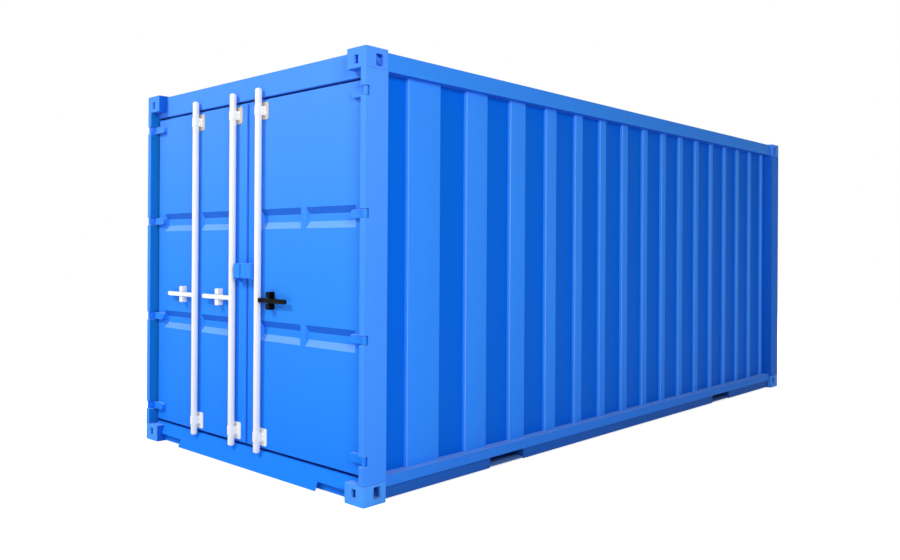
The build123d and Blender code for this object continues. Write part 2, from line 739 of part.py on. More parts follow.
def hinges():
    """The left door's four hinges."""
    return [hinge_blade(level) for level in HINGE_LEVELS]


def lock_bar(name):
    """One upright lock bar with rounded ends."""
    lower = [(BAR_RADIUS - inwards, BAR_BOTTOM + along) for inwards, along in BAR_END_ROUNDING]
    upper = [(BAR_RADIUS - inwards, BAR_TOP - along) for inwards, along in BAR_END_ROUNDING]
    section = [(0, BAR_BOTTOM)] + lower + upper[::-1] + [(0, BAR_TOP)]
    outline = make_face(Polyline(*[(radius, 0, z) for radius, z in section], close=True))
    return Pos(BAR_X, BAR_FROM_CENTRE[name], 0) * revolve(outline, Axis.Z)


def bracket(name, place):
    """The plate behind a lock bar at one of its two bearings."""
    y = BAR_FROM_CENTRE[name]
    level = BRACKET_LEVELS[place]
    plate = block(
        (FRAME_FACE - BRACKET_PLATE, FRAME_FACE),
        (y - BRACKET_WIDTH / 2, y + BRACKET_WIDTH / 2),
        (level - BRACKET_HEIGHT / 2, level + BRACKET_HEIGHT / 2),
    )
    return chamfer(plate.edges().filter_by(Axis.X), BRACKET_CORNER)


def strap(name, place):
    """The bearing strap that holds a lock bar to its bracket."""
    y = BAR_FROM_CENTRE[name]
    level = BRACKET_LEVELS[place]
    z_span = (level - STRAP_HEIGHT / 2, level + STRAP_HEIGHT / 2)
    inner = BAR_RADIUS + STRAP_FIT
    outer = inner + STRAP_THICKNESS
    plate_face = FRAME_FACE - BRACKET_PLATE
    body = cylinder_along_z(outer, BAR_X, y, z_span)
    body += block((BAR_X, plate_face), (y - outer, y + outer), z_span)
    body -= block((plate_face, plate_face + outer), (y - outer, y + outer), z_span)
    foot_y = (y - outer - STRAP_FOOT, y + outer + STRAP_FOOT)
    body += block((plate_face - STRAP_THICKNESS, plate_face), foot_y, z_span)
    body -= cylinder_along_z(inner, BAR_X, y, z_span)
    body -= block((BAR_X, plate_face), (y - inner, y + inner), z_span)
    return body


def handle(name):
    """The flat lever of one lock bar, pointing away from the centre gap."""
    y = BAR_FROM_CENTRE[name]
    side = 1 if y > 0 else -1
    middle_x = BAR_X - HANDLE_FORWARD
    half = HANDLE_THICKNESS / 2
    end = y + side * HANDLE_LENGTH[name]
    lever = block(
        (middle_x - half, middle_x + half),
        sorted((y, end)),
        (HANDLE_LEVEL - HANDLE_HEIGHT / 2, HANDLE_LEVEL + HANDLE_HEIGHT / 2),
    )
    tip = lever.faces().sort_by(Axis.Y)[-1 if side > 0 else 0]
    lever = fillet(tip.edges().filter_by(Axis.X), HANDLE_TIP_ROUND)
    bar = cylinder_along_z(BAR_RADIUS, BAR_X, y, (BAR_BOTTOM, BAR_TOP))
    return lever - bar


def retainer(name):
    """The upright catch that holds one handle, slotted for it and open to the front."""
    bar_y = BAR_FROM_CENTRE[name]
    side = 1 if bar_y > 0 else -1
    y = bar_y + side * RETAINER_FROM_BAR[name]
    front = BAR_X - HANDLE_FORWARD - HANDLE_THICKNESS / 2
    y_span = (y - RETAINER_WIDTH / 2, y + RETAINER_WIDTH / 2)
    z_span = (HANDLE_LEVEL - RETAINER_HEIGHT / 2, HANDLE_LEVEL + RETAINER_HEIGHT / 2)
    body = block((front, FRAME_FACE), y_span, z_span)
    body = fillet(body.edges().filter_by(Axis.X), RETAINER_ROUND)
    slot_half = HANDLE_HEIGHT / 2 + RETAINER_GAP
    slot_back = front + HANDLE_THICKNESS + RETAINER_BACK_GAP
    return body - block(
        (front - CUT_MARGIN, slot_back),
        (y_span[0] - CUT_MARGIN, y_span[1] + CUT_MARGIN),
        (HANDLE_LEVEL - slot_half, HANDLE_LEVEL + slot_half),
    )


def lock_box(y_span, open_side):
    """One half of the padlock box: a hood open below and towards the other half."""
    front = FRAME_FACE - LOCK_BOX_DEPTH
    profile = [
        (FRAME_FACE, LOCK_BOX_TOP),
        (front, LOCK_BOX_TOP),
        (front, LOCK_BOX_BOTTOM + LOCK_BOX_SLOPE),
        (FRAME_FACE, LOCK_BOX_BOTTOM),
    ]
    hood = prism_along_y(profile, y_span)
    wall = LOCK_BOX_WALL
    inner = [
        (FRAME_FACE, LOCK_BOX_TOP - wall),
        (front + wall, LOCK_BOX_TOP - wall),
        (front + wall, LOCK_BOX_BOTTOM - wall),
        (FRAME_FACE, LOCK_BOX_BOTTOM - wall),
    ]
    inner_y = (y_span[0], y_span[1] - wall) if open_side < 0 else (y_span[0] + wall, y_span[1])
    return hood - prism_along_y(inner, inner_y)


def as_list(shape):
    """The solids of one piece or of a list of pieces."""
    pieces = shape if isinstance(shape, list) else [shape]
    return [solid for piece in pieces for solid in piece.solids()]


def both_sides(shape):
    """The left-hand solids of a piece with their mirror copies, for one shared node."""
    left = as_list(shape)
    return left + [mirrored(solid) for solid in left]


def paired(name, build):
    """Left and right nodes from one left-hand piece or list of pieces."""
    left = as_list(build())
    return {"left_" + name: left, "right_" + name: [mirrored(piece) for piece in left]}


def structure_nodes():
    """Everything that stays still."""
    nodes = {
        "corner_castings_top": casting_set(True),
        "corner_castings_bottom": casting_set(False),
        "door_header": door_header(),
        "door_sill": door_sill(),
        "blind_top_rail": blind_top_rail(),
        "blind_bottom_rail": blind_bottom_rail(),
        "blind_end_wall": end_wall(),
        "roof_panel": roof_panel(),
        "floor_boards": floor_boards(),
        "cross_members": cross_members(),
        "forklift_pockets": forklift_pockets(),
    }
    nodes["hinge_pins"] = both_sides(hinge_pins())
    nodes["blind_posts"] = both_sides(blind_post())
    nodes.update(paired("door_post", door_post))
    nodes.update(paired("top_rail", top_side_rail))
    nodes.update(paired("bottom_rail", bottom_side_rail))
    nodes.update(paired("side_wall", side_wall))
    return nodes


def door_nodes():
    """Both doors with what is welded to them."""
    nodes = {}
    nodes.update(paired("door_skin", door_skin))
    nodes.update(paired("door_stiles", door_stiles))
    nodes.update(paired("door_rails", door_rails))
    nodes.update(paired("door_gasket", door_gasket))
    nodes.update(paired("door_hinges", hinges))
    bars = {"left": ("left_outer", "left_inner"), "right": ("right_inner",)}
    for side, names in bars.items():
        bearings = [(name, place) for name in names for place in BRACKET_LEVELS]
        nodes[side + "_bar_brackets"] = [bracket(*bearing) for bearing in bearings]
        nodes[side + "_bar_straps"] = [strap(*bearing) for bearing in bearings]
        nodes[side + "_handle_retainers"] = [retainer(name) for name in names]
    nodes["left_lock_keeper"] = lock_box((LOCK_BOX_GAP, LOCK_BOX_LEFT), -1)
    nodes["right_lock_box"] = lock_box((-LOCK_BOX_RIGHT, -LOCK_BOX_GAP), 1)
    return nodes


def bar_nodes():
    """The three lock bars and their handles."""
    nodes = {}
    for name in BAR_FROM_CENTRE:
        nodes[name + "_bar"] = lock_bar(name)
        nodes[name + "_handle"] = handle(name)
    return nodes


def write(nodes):
    """Write one STEP file for each node."""
    os.makedirs("parts", exist_ok=True)
    for name, shape in nodes.items():
        solids = as_list(shape)
        whole = solids[0] if len(solids) == 1 else Compound(children=solids)
        whole.label = name
        export_step(whole, "parts/" + name + ".step")


write({**structure_nodes(), **door_nodes(), **bar_nodes()})
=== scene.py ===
"""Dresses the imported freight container: sheets, finishes, fasteners, welds and studio."""

import json
import logging
import math
from dataclasses import dataclass, field
from enum import Enum

import bmesh
import bpy
from mathutils import Matrix, Vector

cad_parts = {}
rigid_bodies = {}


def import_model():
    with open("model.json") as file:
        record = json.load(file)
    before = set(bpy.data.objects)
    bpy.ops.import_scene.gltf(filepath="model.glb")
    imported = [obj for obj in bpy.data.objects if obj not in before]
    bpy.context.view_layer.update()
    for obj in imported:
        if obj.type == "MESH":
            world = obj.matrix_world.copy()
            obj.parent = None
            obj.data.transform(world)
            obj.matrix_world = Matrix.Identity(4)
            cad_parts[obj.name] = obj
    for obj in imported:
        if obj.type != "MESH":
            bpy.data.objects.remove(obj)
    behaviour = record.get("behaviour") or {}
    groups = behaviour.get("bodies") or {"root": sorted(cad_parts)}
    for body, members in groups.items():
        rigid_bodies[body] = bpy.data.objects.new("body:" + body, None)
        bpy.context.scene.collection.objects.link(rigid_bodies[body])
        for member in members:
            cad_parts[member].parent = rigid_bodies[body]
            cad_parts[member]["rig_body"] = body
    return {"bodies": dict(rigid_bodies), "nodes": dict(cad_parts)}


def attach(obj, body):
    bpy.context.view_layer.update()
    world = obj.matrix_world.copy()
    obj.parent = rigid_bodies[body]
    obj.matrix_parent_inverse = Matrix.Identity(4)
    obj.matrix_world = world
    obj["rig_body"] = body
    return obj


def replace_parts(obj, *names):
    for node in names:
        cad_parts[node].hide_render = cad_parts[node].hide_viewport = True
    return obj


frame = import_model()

LOG = logging.getLogger("container")
MM = 0.001
SIDES = {"left": 1.0, "right": -1.0}
FORWARD = (-1.0, 0.0, 0.0)
INWARD = (1.0, 0.0, 0.0)
UPWARD = (0.0, 0.0, 1.0)
MERGE_GAP = 0.01 * MM

Point = tuple[float, float]
Place = tuple[float, float, float]
Line = list[Place]
Inputs = dict[str | int, object]
Material = bpy.types.Material
Mesh = bpy.types.Mesh
Piece = bpy.types.Object
Socket = bpy.types.NodeSocket


@dataclass(frozen=True)
class FrameSizes:
    """The levels and faces of the CAD frame that several sub-assemblies meet, in millimetres."""

    height: float = 2591.0
    frame_face: float = -2963.0
    frame_inner: float = -2851.0
    blind_inner: float = 2851.0
    rail_face: float = 1199.0
    wall_crest: float = 1157.0
    wall_depth: float = 24.0
    end_crest: float = 2921.0
    casting_inner: float = 1057.0
    casting_height: float = 118.0
    casting_under: float = 2473.0
    base_top: float = 144.0
    floor_top: float = 150.0
    header_top: float = 2585.0
    door_free_edge: float = 13.0
    door_hinge_edge: float = 1162.0
    door_bottom: float = 154.0
    door_top: float = 2414.0
    door_inner: float = -2905.0


SIZES = FrameSizes()


# Small shared helpers


def linear(hex_colour: str) -> tuple[float, float, float, float]:
    """Turns an sRGB hex colour into the linear colour that a socket takes.

    Args:
        hex_colour: The colour as "#rrggbb".

    Returns:
        Linear red, green, blue and an alpha of one.
    """
    parts = [int(hex_colour[start : start + 2], 16) / 255 for start in (1, 3, 5)]
    red, green, blue = (
        part / 12.92 if part <= 0.04045 else ((part + 0.055) / 1.055) ** 2.4 for part in parts
    )
    return red, green, blue, 1.0


def add_node(
    tree: bpy.types.NodeTree, kind: str, inputs: Inputs | None = None, **settings: object
) -> bpy.types.Node:
    """Adds one node to a tree, with its settings, values and links.

    Args:
        tree: The material's or the geometry's node tree.
        kind: Blender's name for the kind of node.
        inputs: For each input's name or number, a value or the socket that feeds it.
        settings: The node's own properties.

    Returns:
        The new node.
    """
    node = tree.nodes.new(kind)
    for name, value in settings.items():
        setattr(node, name, value)
    for name, value in (inputs or {}).items():
        if isinstance(value, bpy.types.NodeSocket):
            tree.links.new(value, node.inputs[name])
        else:
            node.inputs[name].default_value = value
    return node


@dataclass(frozen=True)
class Wiring:
    """Adds the nodes that repeat to one tree, and hands back the socket that they end in."""

    tree: bpy.types.NodeTree

    def node(
        self,
        kind: str,
        inputs: Inputs | None = None,
        output: str | int = 0,
        **settings: object,
    ) -> Socket:
        """Adds one node and returns one of its outputs."""
        return add_node(self.tree, kind, inputs, **settings).outputs[output]

    def axis(self, vector: Socket, name: str) -> Socket:
        """Takes X, Y or Z out of a vector."""
        return self.node("ShaderNodeSeparateXYZ", {0: vector}, name)

    def math(self, operation: str, *values: object) -> Socket:
        """Works out one operation on values or sockets."""
        return self.node("ShaderNodeMath", dict(enumerate(values)), operation=operation)

    def map_range(
        self,
        value: Socket,
        source: Point = (0.0, 1.0),
        target: Point = (0.0, 1.0),
        shape: str = "LINEAR",
    ) -> Socket:
        """Maps a value from one range to another and holds it there."""
        inputs = {"Value": value, "From Min": source[0], "From Max": source[1]}
        inputs |= {"To Min": target[0], "To Max": target[1]}
        return self.node("ShaderNodeMapRange", inputs, "Result", interpolation_type=shape)

    def mix(self, share: Socket, first: object, second: object) -> Socket:
        """Mixes two colours: the first at a share of zero, the second at one."""
        return self.node("ShaderNodeMix", {0: share, 6: first, 7: second}, 2, data_type="RGBA")

    def ramp(self, share: Socket, first: tuple, last: tuple, *between: tuple) -> Socket:
        """Colours a share by stops, each a position and a hex colour."""
        node = add_node(self.tree, "ShaderNodeValToRGB", {"Fac": share})
        stops = node.color_ramp.elements
        for stop, (position, hex_colour) in ((stops[0], first), (stops[1], last)):
            stop.position = position
            stop.color = linear(hex_colour)
        for position, hex_colour in between:
            stops.new(position).color = linear(hex_colour)
        return node.outputs["Color"]

    def stretched(self, coords: Socket, scale: Place) -> Socket:
        """Scales coordinates along each axis, so that a pattern is drawn out."""
        return self.node("ShaderNodeMapping", {"Vector": coords, "Scale": scale})

    def noise(
        self, coords: Socket, spacing: float, detail: float, distortion: float = 0.0
    ) -> Socket:
        """Adds a noise whose features are about as many millimetres apart as the spacing."""
        inputs = {"Vector": coords, "Scale": 1 / (spacing * MM)}
        inputs |= {"Detail": detail, "Distortion": distortion}
        return self.node("ShaderNodeTexNoise", inputs, "Fac")

    def brightened(self, colour: Socket, value: Socket) -> Socket:
        """Multiplies a colour's brightness."""
        return self.node("ShaderNodeHueSaturation", {"Color": colour, "Value": value})

    def bump(self, height: Socket, strength: float, depth: float) -> Socket:
        """Turns a height into a bumped normal, with its depth in millimetres."""
        inputs = {"Height": height, "Strength": strength, "Distance": depth * MM}
        return self.node("ShaderNodeBump", inputs)

    def end(self, kind: str, surface: Socket) -> None:
        """Adds the output node that the surface goes into."""
        add_node(self.tree, kind, {"Surface": surface})


def cleared(holder: Material | bpy.types.World) -> Wiring:
    """Empties the node tree of a material or the world and returns its wiring."""
    holder.use_nodes = True
    holder.node_tree.nodes.clear()
    return Wiring(holder.node_tree)


def link_object(name: str, data: bpy.types.ID | None) -> Piece:
    """Makes an object at the origin and links it to the scene."""
    made = bpy.data.objects.new(name, data)
    bpy.context.scene.collection.objects.link(made)
    return made


def finished_object(name: str, mesh: Mesh, body: str, slot: str) -> Piece:
    """Links a mesh as a finished piece that rides on a body.

    Args:
        name: The piece's name.
        mesh: The mesh, with its place in it.
        body: The CAD body that carries the piece.
        slot: The record's material slot; not used.

    Returns:
        The new object, at the origin.
    """
    mesh.name = name
    piece = link_object(name, mesh)
    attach(piece, body)
    LOG.info("%s: %d faces on %s", name, len(mesh.polygons), body)
    return piece


def plain_mesh(holder: Piece) -> Mesh:
    """Turns an object and its modifiers into a plain mesh, and removes the object.

    Args:
        holder: The object, already linked to the scene.

    Returns:
        The mesh that the modifiers give.
    """
    depsgraph = bpy.context.evaluated_depsgraph_get()
    mesh = bpy.data.meshes.new_from_object(holder.evaluated_get(depsgraph))
    source = holder.data
    bpy.data.objects.remove(holder)
    bpy.data.meshes.remove(source)
    return mesh


def point_outwards(mesh: Mesh, smooth_angle: float = 35.0) -> None:
    """Merges doubles, turns every face outwards and smooths the shallow edges.

    Args:
        mesh: The mesh to tidy.
        smooth_angle: Edges steeper than this many degrees stay sharp.
    """
    work = bmesh.new()
    work.from_mesh(mesh)
    bmesh.ops.remove_doubles(work, verts=work.verts, dist=MERGE_GAP)
    bmesh.ops.recalc_face_normals(work, faces=work.faces)
    work.to_mesh(mesh)
    work.free()
    mesh.shade_smooth()
    mesh.set_sharp_from_angle(angle=math.radians(smooth_angle))


def bridge(
    work: bmesh.types.BMesh, first: list[bmesh.types.BMVert], second: list[bmesh.types.BMVert]
) -> None:
    """Joins two rings of as many points with a band of faces."""
    for index, corner in enumerate(first):
        after = (index + 1) % len(first)
        work.faces.new((corner, first[after], second[after], second[index]))


def solid_mesh(
    work: bmesh.types.BMesh, name: str, finish: Material, smooth_angle: float = 35.0
) -> Mesh:
    """Turns bmesh work into a mesh of one finish, its faces outwards, and frees the work.

    Args:
        work: The closed shape.
        name: The mesh's name.
        finish: Its material.
        smooth_angle: Edges steeper than this many degrees stay sharp.

    Returns:
        The new mesh.
    """
    mesh = bpy.data.meshes.new(name)
    work.to_mesh(mesh)
    work.free()
    mesh.materials.append(finish)
    point_outwards(mesh, smooth_angle)
    return mesh


def dress(node: str, material: Material) -> None:
    """Puts a material on a CAD node through the slots of its object."""
    for holder in frame["nodes"][node].material_slots:
        holder.link = "OBJECT"
        holder.material = material
    LOG.info("%s: dressed as %s", node, material.name)


def line_mesh(name: str, lines: list[Line]) -> Mesh:
    """A mesh of open lines in millimetres, one for each list of points, for a tree to follow."""
    points, edges = [], []
    for line in lines:
        first = len(points)
        points += [Vector(place) * MM for place in line]
        edges += [(first + step, first + step + 1) for step in range(len(line) - 1)]
    mesh = bpy.data.meshes.new(name)
    mesh.from_pydata(points, edges, [])
    return mesh


def facing_points(name: str, places: Line, facing: Place) -> Mesh:
    """A mesh of single points in millimetres that remember which way their heads face."""
    mesh = bpy.data.meshes.new(name)
    mesh.from_pydata([Vector(place) * MM for place in places], [], [])
    mark = mesh.attributes.new("facing", "FLOAT_VECTOR", "POINT")
    mark.data.foreach_set("vector", list(facing) * len(places))
    return mesh


# Finishes


@dataclass(frozen=True)
class Finish:
    """What every finish shares: its name, and a shader fed by object coordinates."""

    name: str

    def surface(self, wires: Wiring, coords: Socket) -> Inputs:
        """Builds the finish's pattern and returns the shader's inputs."""
        raise NotImplementedError

    def make(self) -> Material:
        """Builds the finish as a material.

        Returns:
            The new material.
        """
        material = bpy.data.materials.new(self.name)
        wires = cleared(material)
        coords = wires.node("ShaderNodeTexCoord", output="Object")
        shader = wires.node("ShaderNodeBsdfPrincipled", self.surface(wires, coords))
        wires.end("ShaderNodeOutputMaterial", shader)
        return material


@dataclass(frozen=True)
class PaintedRecessShade:
    """Where a pressed sheet or rail lies deeper, and the darker colour painted there as shade.

    The deep steps of a sheet are painted darker, as painted shade. Where a rim
    colour is given, the outer half of each bend is painted paler, as a painted highlight.
    """

    hex_colour: str
    axis: str
    deep: float
    proud: float
    painted_rim_highlight_hex: str | None = None
    rim: Point = (0.0, 0.0)
    rim_edge: float = 0.4


@dataclass(frozen=True)
class SprayedEnamel(Finish):
    """Alkyd enamel sprayed on primed weathering steel.

    It gives a satin face with a faint orange peel, painted light that makes it
    lighter towards the top, and soft upright runs where rain has washed it.
    Painted light falls on what slopes up and painted shade under what slopes down.
    """

    # Bottom, middle and top colours: the lighter top is painted light from above.
    upper_hex: str = "#5097ff"
    middle_hex: str = "#3590ff"
    lower_hex: str = "#2088ff"
    # Painted shade in the deep steps and painted highlight on the bends, if any.
    painted_recess_shade: PaintedRecessShade | None = None
    roughness: float = 0.55
    roughness_spread: float = 0.06
    # Where the painted light from above starts and ends, as shares of the height.
    painted_light_ends: Point = (0.06, 0.97)
    peel_spacing: float = 14.0
    peel_depth: float = 0.25
    peel_strength: float = 0.35
    wash: float = 0.03
    wash_spacing: float = 90.0
    wash_shape: Place = (1.0, 1.0, 0.12)
    # Painted light on upward faces and painted shade under downward faces, the tilt where they are
    # full, and how much of them is mixed in.
    painted_top_light_hex: str = "#84baff"
    painted_underside_shade_hex: str = "#0244bc"
    steep: float = 0.36
    painted_tilt_share: float = 0.6

    def painted_light_by_height(self, wires: Wiring, coords: Socket) -> Socket:
        """Paints the enamel lighter from the bottom to the top, as painted light falling from
        above.
        """
        share = wires.map_range(wires.axis(coords, "Z"), (0.0, SIZES.height * MM))
        low, high = self.painted_light_ends
        return wires.ramp(
            share, (low, self.lower_hex), (high, self.upper_hex), (0.5, self.middle_hex)
        )

    def painted_shade_by_depth(self, wires: Wiring, coords: Socket, colour: Socket) -> Socket:
        """Mixes in the painted shade of the recessed steps, and the painted highlight on the rims.
        """
        painted_recess_shade = self.painted_recess_shade
        if painted_recess_shade is None:
            return colour
        distance = wires.math("ABSOLUTE", wires.axis(coords, painted_recess_shade.axis))

        def share(deep: float, proud: float) -> Socket:
            return wires.map_range(distance, (deep * MM, proud * MM), shape="SMOOTHSTEP")

        # Painted shade: darker where the face lies deep.
        mixed = wires.mix(share(painted_recess_shade.deep, painted_recess_shade.proud), linear(painted_recess_shade.hex_colour), colour)
        if painted_recess_shade.painted_rim_highlight_hex is None:
            return mixed
        inner, outer = painted_recess_shade.rim
        # Painted highlight on the outer half of each bend.
        mixed = wires.mix(share(inner, outer), mixed, linear(painted_recess_shade.painted_rim_highlight_hex))
        return wires.mix(share(outer, outer + painted_recess_shade.rim_edge), mixed, colour)

    def painted_light_by_tilt(self, wires: Wiring, colour: Socket) -> Socket:
        """Paints light on what slopes upwards and shade under what slopes downwards."""
        normal = wires.node("ShaderNodeNewGeometry", output="Normal")
        upwards = wires.axis(normal, "Z")
        for tilt, hex_colour in ((self.steep, self.painted_top_light_hex), (-self.steep, self.painted_underside_shade_hex)):
            share = wires.map_range(upwards, (tilt / 3, tilt), (0.0, self.painted_tilt_share))
            colour = wires.mix(share, colour, linear(hex_colour))
        return colour

    def surface(self, wires: Wiring, coords: Socket) -> Inputs:
        """Bleach by height, fuller recesses, dust, rain runs and orange peel."""
        colour = self.painted_light_by_height(wires, coords)
        colour = self.painted_shade_by_depth(wires, coords, colour)
        colour = self.painted_light_by_tilt(wires, colour)
        runs = wires.noise(wires.stretched(coords, self.wash_shape), self.wash_spacing, 3.0)
        washed = wires.map_range(runs, target=(1 - self.wash, 1 + self.wash))
        low, high = (self.roughness + side * self.roughness_spread for side in (-1, 1))
        peel = wires.noise(coords, self.peel_spacing, 1.0)
        return {
            "Base Color": wires.brightened(colour, washed),
            "Roughness": wires.map_range(runs, target=(low, high)),
            "Normal": wires.bump(peel, self.peel_strength, self.peel_depth),
            "IOR": 1.5,
            "Specular IOR Level": 0.05,
        }


@dataclass(frozen=True)
class LockGearCoat(Finish):
    """Two-part enamel over hot-dip galvanised steel, on the rods, levers and plates.

    It gives a clean, even coat with a soft gloss. A plate high on the door may
    be painted a darker, warmer tone as painted shade, so the upper tone may differ from the lower
    one.
    """

    lower_hex: str
    upper_hex: str
    # Heights over which the lower tone turns to the upper one, a painted shade.
    painted_shade_heights: Point = (900.0, 1700.0)
    roughness: float = 0.4
    grain: float = 0.03
    grain_spacing: float = 9.0
    specular: float = 0.3

    def surface(self, wires: Wiring, coords: Socket) -> Inputs:
        """An even tone that may turn to a painted shade with height, with a fine grain from the
        zinc below.
        """
        low, high = self.painted_shade_heights
        share = wires.map_range(wires.axis(coords, "Z"), (low * MM, high * MM))
        tone = wires.mix(share, linear(self.lower_hex), linear(self.upper_hex))
        speckle = wires.noise(coords, self.grain_spacing, 2.0)
        value = wires.map_range(speckle, target=(1 - self.grain, 1 + self.grain))
        return {
            "Base Color": wires.brightened(tone, value),
            "Roughness": self.roughness,
            "Normal": wires.bump(speckle, 0.25, 0.2),
            "IOR": 1.5,
            "Specular IOR Level": self.specular,
        }


@dataclass(frozen=True)
class SealRubber(Finish):
    """Extruded EPDM rubber of the door seals.

    It is charcoal and matte inside, and its outer lip has taken the blue
    overspray of the doors, as seals fitted before the last coat do.
    """

    rubber_hex: str = "#2a2d33"
    overspray_hex: str = "#3c92ff"
    sprayed_to: Point = (-2944.0, -2932.0)
    ragged: float = 6.0
    ragged_spacing: float = 30.0

    def surface(self, wires: Wiring, coords: Socket) -> Inputs:
        """Overspray that fades raggedly into bare rubber behind the outer lip."""
        uneven = wires.noise(coords, self.ragged_spacing, 2.0)
        edge = wires.math("MULTIPLY_ADD", uneven, self.ragged * MM, wires.axis(coords, "X"))
        outer, inner = self.sprayed_to
        share = wires.map_range(edge, (outer * MM, inner * MM), shape="SMOOTHSTEP")
        colour = wires.mix(share, linear(self.overspray_hex), linear(self.rubber_hex))
        return {"Base Color": colour, "Roughness": 0.7, "IOR": 1.52}


@dataclass(frozen=True)
class FloorPlywood(Finish):
    """Hardwood plywood of the floor, sealed with a brown stain.

    Rotary-cut face veneer shows long flame grain along the boards and fine
    dark pores, and trolley wheels have dulled the stain.
    """

    early_hex: str = "#a8743f"
    late_hex: str = "#6d4423"
    pore_hex: str = "#4a2c16"
    grain_shape: Place = (0.08, 1.0, 1.0)
    grain_width: float = 28.0
    grain_twist: float = 1.2
    pore_spacing: float = 5.0
    pore_edge: Point = (0.3, 0.42)
    pore_depth: float = 0.4

    def surface(self, wires: Wiring, coords: Socket) -> Inputs:
        """Flame grain along the boards with dark pores in it."""
        along = wires.stretched(coords, self.grain_shape)
        flame = wires.noise(along, self.grain_width, 5.0, self.grain_twist)
        veneer = wires.ramp(flame, (0.3, self.late_hex), (0.68, self.early_hex))
        pores = wires.noise(along, self.pore_spacing, 2.0)
        shut = wires.map_range(pores, self.pore_edge)
        return {
            "Base Color": wires.mix(shut, linear(self.pore_hex), veneer),
            "Roughness": 0.62,
            "Normal": wires.bump(pores, 0.3, self.pore_depth),
            "IOR": 1.5,
        }


@dataclass(frozen=True)
class ZincPlatedSteel(Finish):
    """Electroplated steel of the hinge pins, seal strips and floor screws.

    Turned or rolled and then plated, it is a grey metal with fine rings and a
    dull shine.
    """

    hex_colour: str = "#8a8e91"
    roughness: Point = (0.32, 0.54)
    ring_shape: Place = (1.0, 1.0, 12.0)
    ring_spacing: float = 12.0

    def surface(self, wires: Wiring, coords: Socket) -> Inputs:
        """Fine level rings that change how dull the plating is."""
        rings = wires.noise(wires.stretched(coords, self.ring_shape), self.ring_spacing, 3.0)
        return {
            "Base Color": linear(self.hex_colour),
            "Metallic": 1.0,
            "Roughness": wires.map_range(rings, target=self.roughness),
        }


class Finishes:
    """Every material of the container, made once and shared by the sub-assemblies."""

    def __init__(self) -> None:
        """Makes each material from its finish."""
        fluted = ("#3a91ff", "#358fff", "#308dff")
        # Painted highlight on the outer half of each flute's bends.
        painted_bend_highlight = "#70b4ff"
        # Painted shade in the flutes' troughs.
        deep = "#0068e0"
        # Painted shade in the troughs and painted highlight on the bends, for the side and end
        # sheets.
        side_flute_painted_light = PaintedRecessShade(deep, "Y", 1133.2, 1137.0, painted_bend_highlight, (1144.0, 1156.2))
        end_flute_painted_light = PaintedRecessShade(deep, "X", 2897.2, 2901.0, painted_bend_highlight, (2908.0, 2920.2))
        # Painted shade on the door posts' inner flange faces beside the doors.
        painted_reveal_shade = PaintedRecessShade("#167dc8", "Y", 1176.0, 1177.5)
        # Painted shade on the bottom rails' webs, under their ledges.
        painted_lower_web_shade = PaintedRecessShade("#2564c0", "Y", 1188.0, 1197.0)
        # Painted shade on the castings' inner faces.
        painted_casting_inner_shade = PaintedRecessShade("#1767d6", "Y", 1057.2, 1060.0)
        self.door = SprayedEnamel("door_sprayed_enamel").make()
        # No painted light or shade by tilt on the header and sill.
        self.door_frame = SprayedEnamel("door_frame_sprayed_enamel", painted_tilt_share=0.0).make()
        # A darker copy of the frame enamel, painted shade, used on the blind posts and the frame
        # welds.
        self.shaded_frame_steel = SprayedEnamel(
            "frame_sprayed_enamel", "#2277e6", "#1c72e0", "#186dd9"
        ).make()
        self.door_post = SprayedEnamel(
            "door_post_sprayed_enamel", "#5299ff", "#4795ff", "#4191ff", painted_reveal_shade
        ).make()
        self.top_rail = SprayedEnamel("rail_sprayed_enamel", *["#378cf4"] * 3).make()
        self.side_sheet = SprayedEnamel(
            "side_sheet_sprayed_enamel", *fluted, side_flute_painted_light
        ).make()
        self.end_sheet = SprayedEnamel("end_sheet_sprayed_enamel", *fluted, end_flute_painted_light).make()
        # Only a little painted light by tilt on the roof's upward slopes.
        self.roof_sheet = SprayedEnamel(
            "roof_sheet_sprayed_enamel", *["#4a97ff"] * 3, painted_tilt_share=0.1
        ).make()
        self.lower_rail = SprayedEnamel(
            "lower_rail_sprayed_enamel", *["#3487f2"] * 3, painted_lower_web_shade
        ).make()
        self.underframe = SprayedEnamel(
            "underframe_sprayed_enamel", "#1f5fb8", "#1f5fb8", "#1a4f9c", roughness=0.62
        ).make()
        self.casting = SprayedEnamel(
            "cast_steel_sprayed_enamel",
            "#4f96ff",
            "#4492ff",
            "#4da0ff",
            painted_casting_inner_shade,
            peel_spacing=22.0,
            peel_depth=0.9,
        ).make()
        self.rod = LockGearCoat("lock_rod_white_enamel", "#fbf9f4", "#fbf9f4").make()
        # The brackets' darker upper tone is painted shade.
        self.plate = LockGearCoat("bracket_white_enamel", "#f4f4f4", "#cdc6bf").make()
        self.black = LockGearCoat(
            "handle_black_enamel", "#010106", "#010106", roughness=0.5, specular=0.06
        ).make()
        self.seal = SealRubber("door_seal_epdm_rubber").make()
        self.plywood = FloorPlywood("floor_hardwood_plywood").make()
        self.zinc = ZincPlatedSteel("pin_zinc_plated_steel").make()


# Geometry Nodes trees


@dataclass(frozen=True)
class NamedInput:
    """One named input of a Geometry Nodes tree, with its first value."""

    name: str
    kind: str
    value: object = None


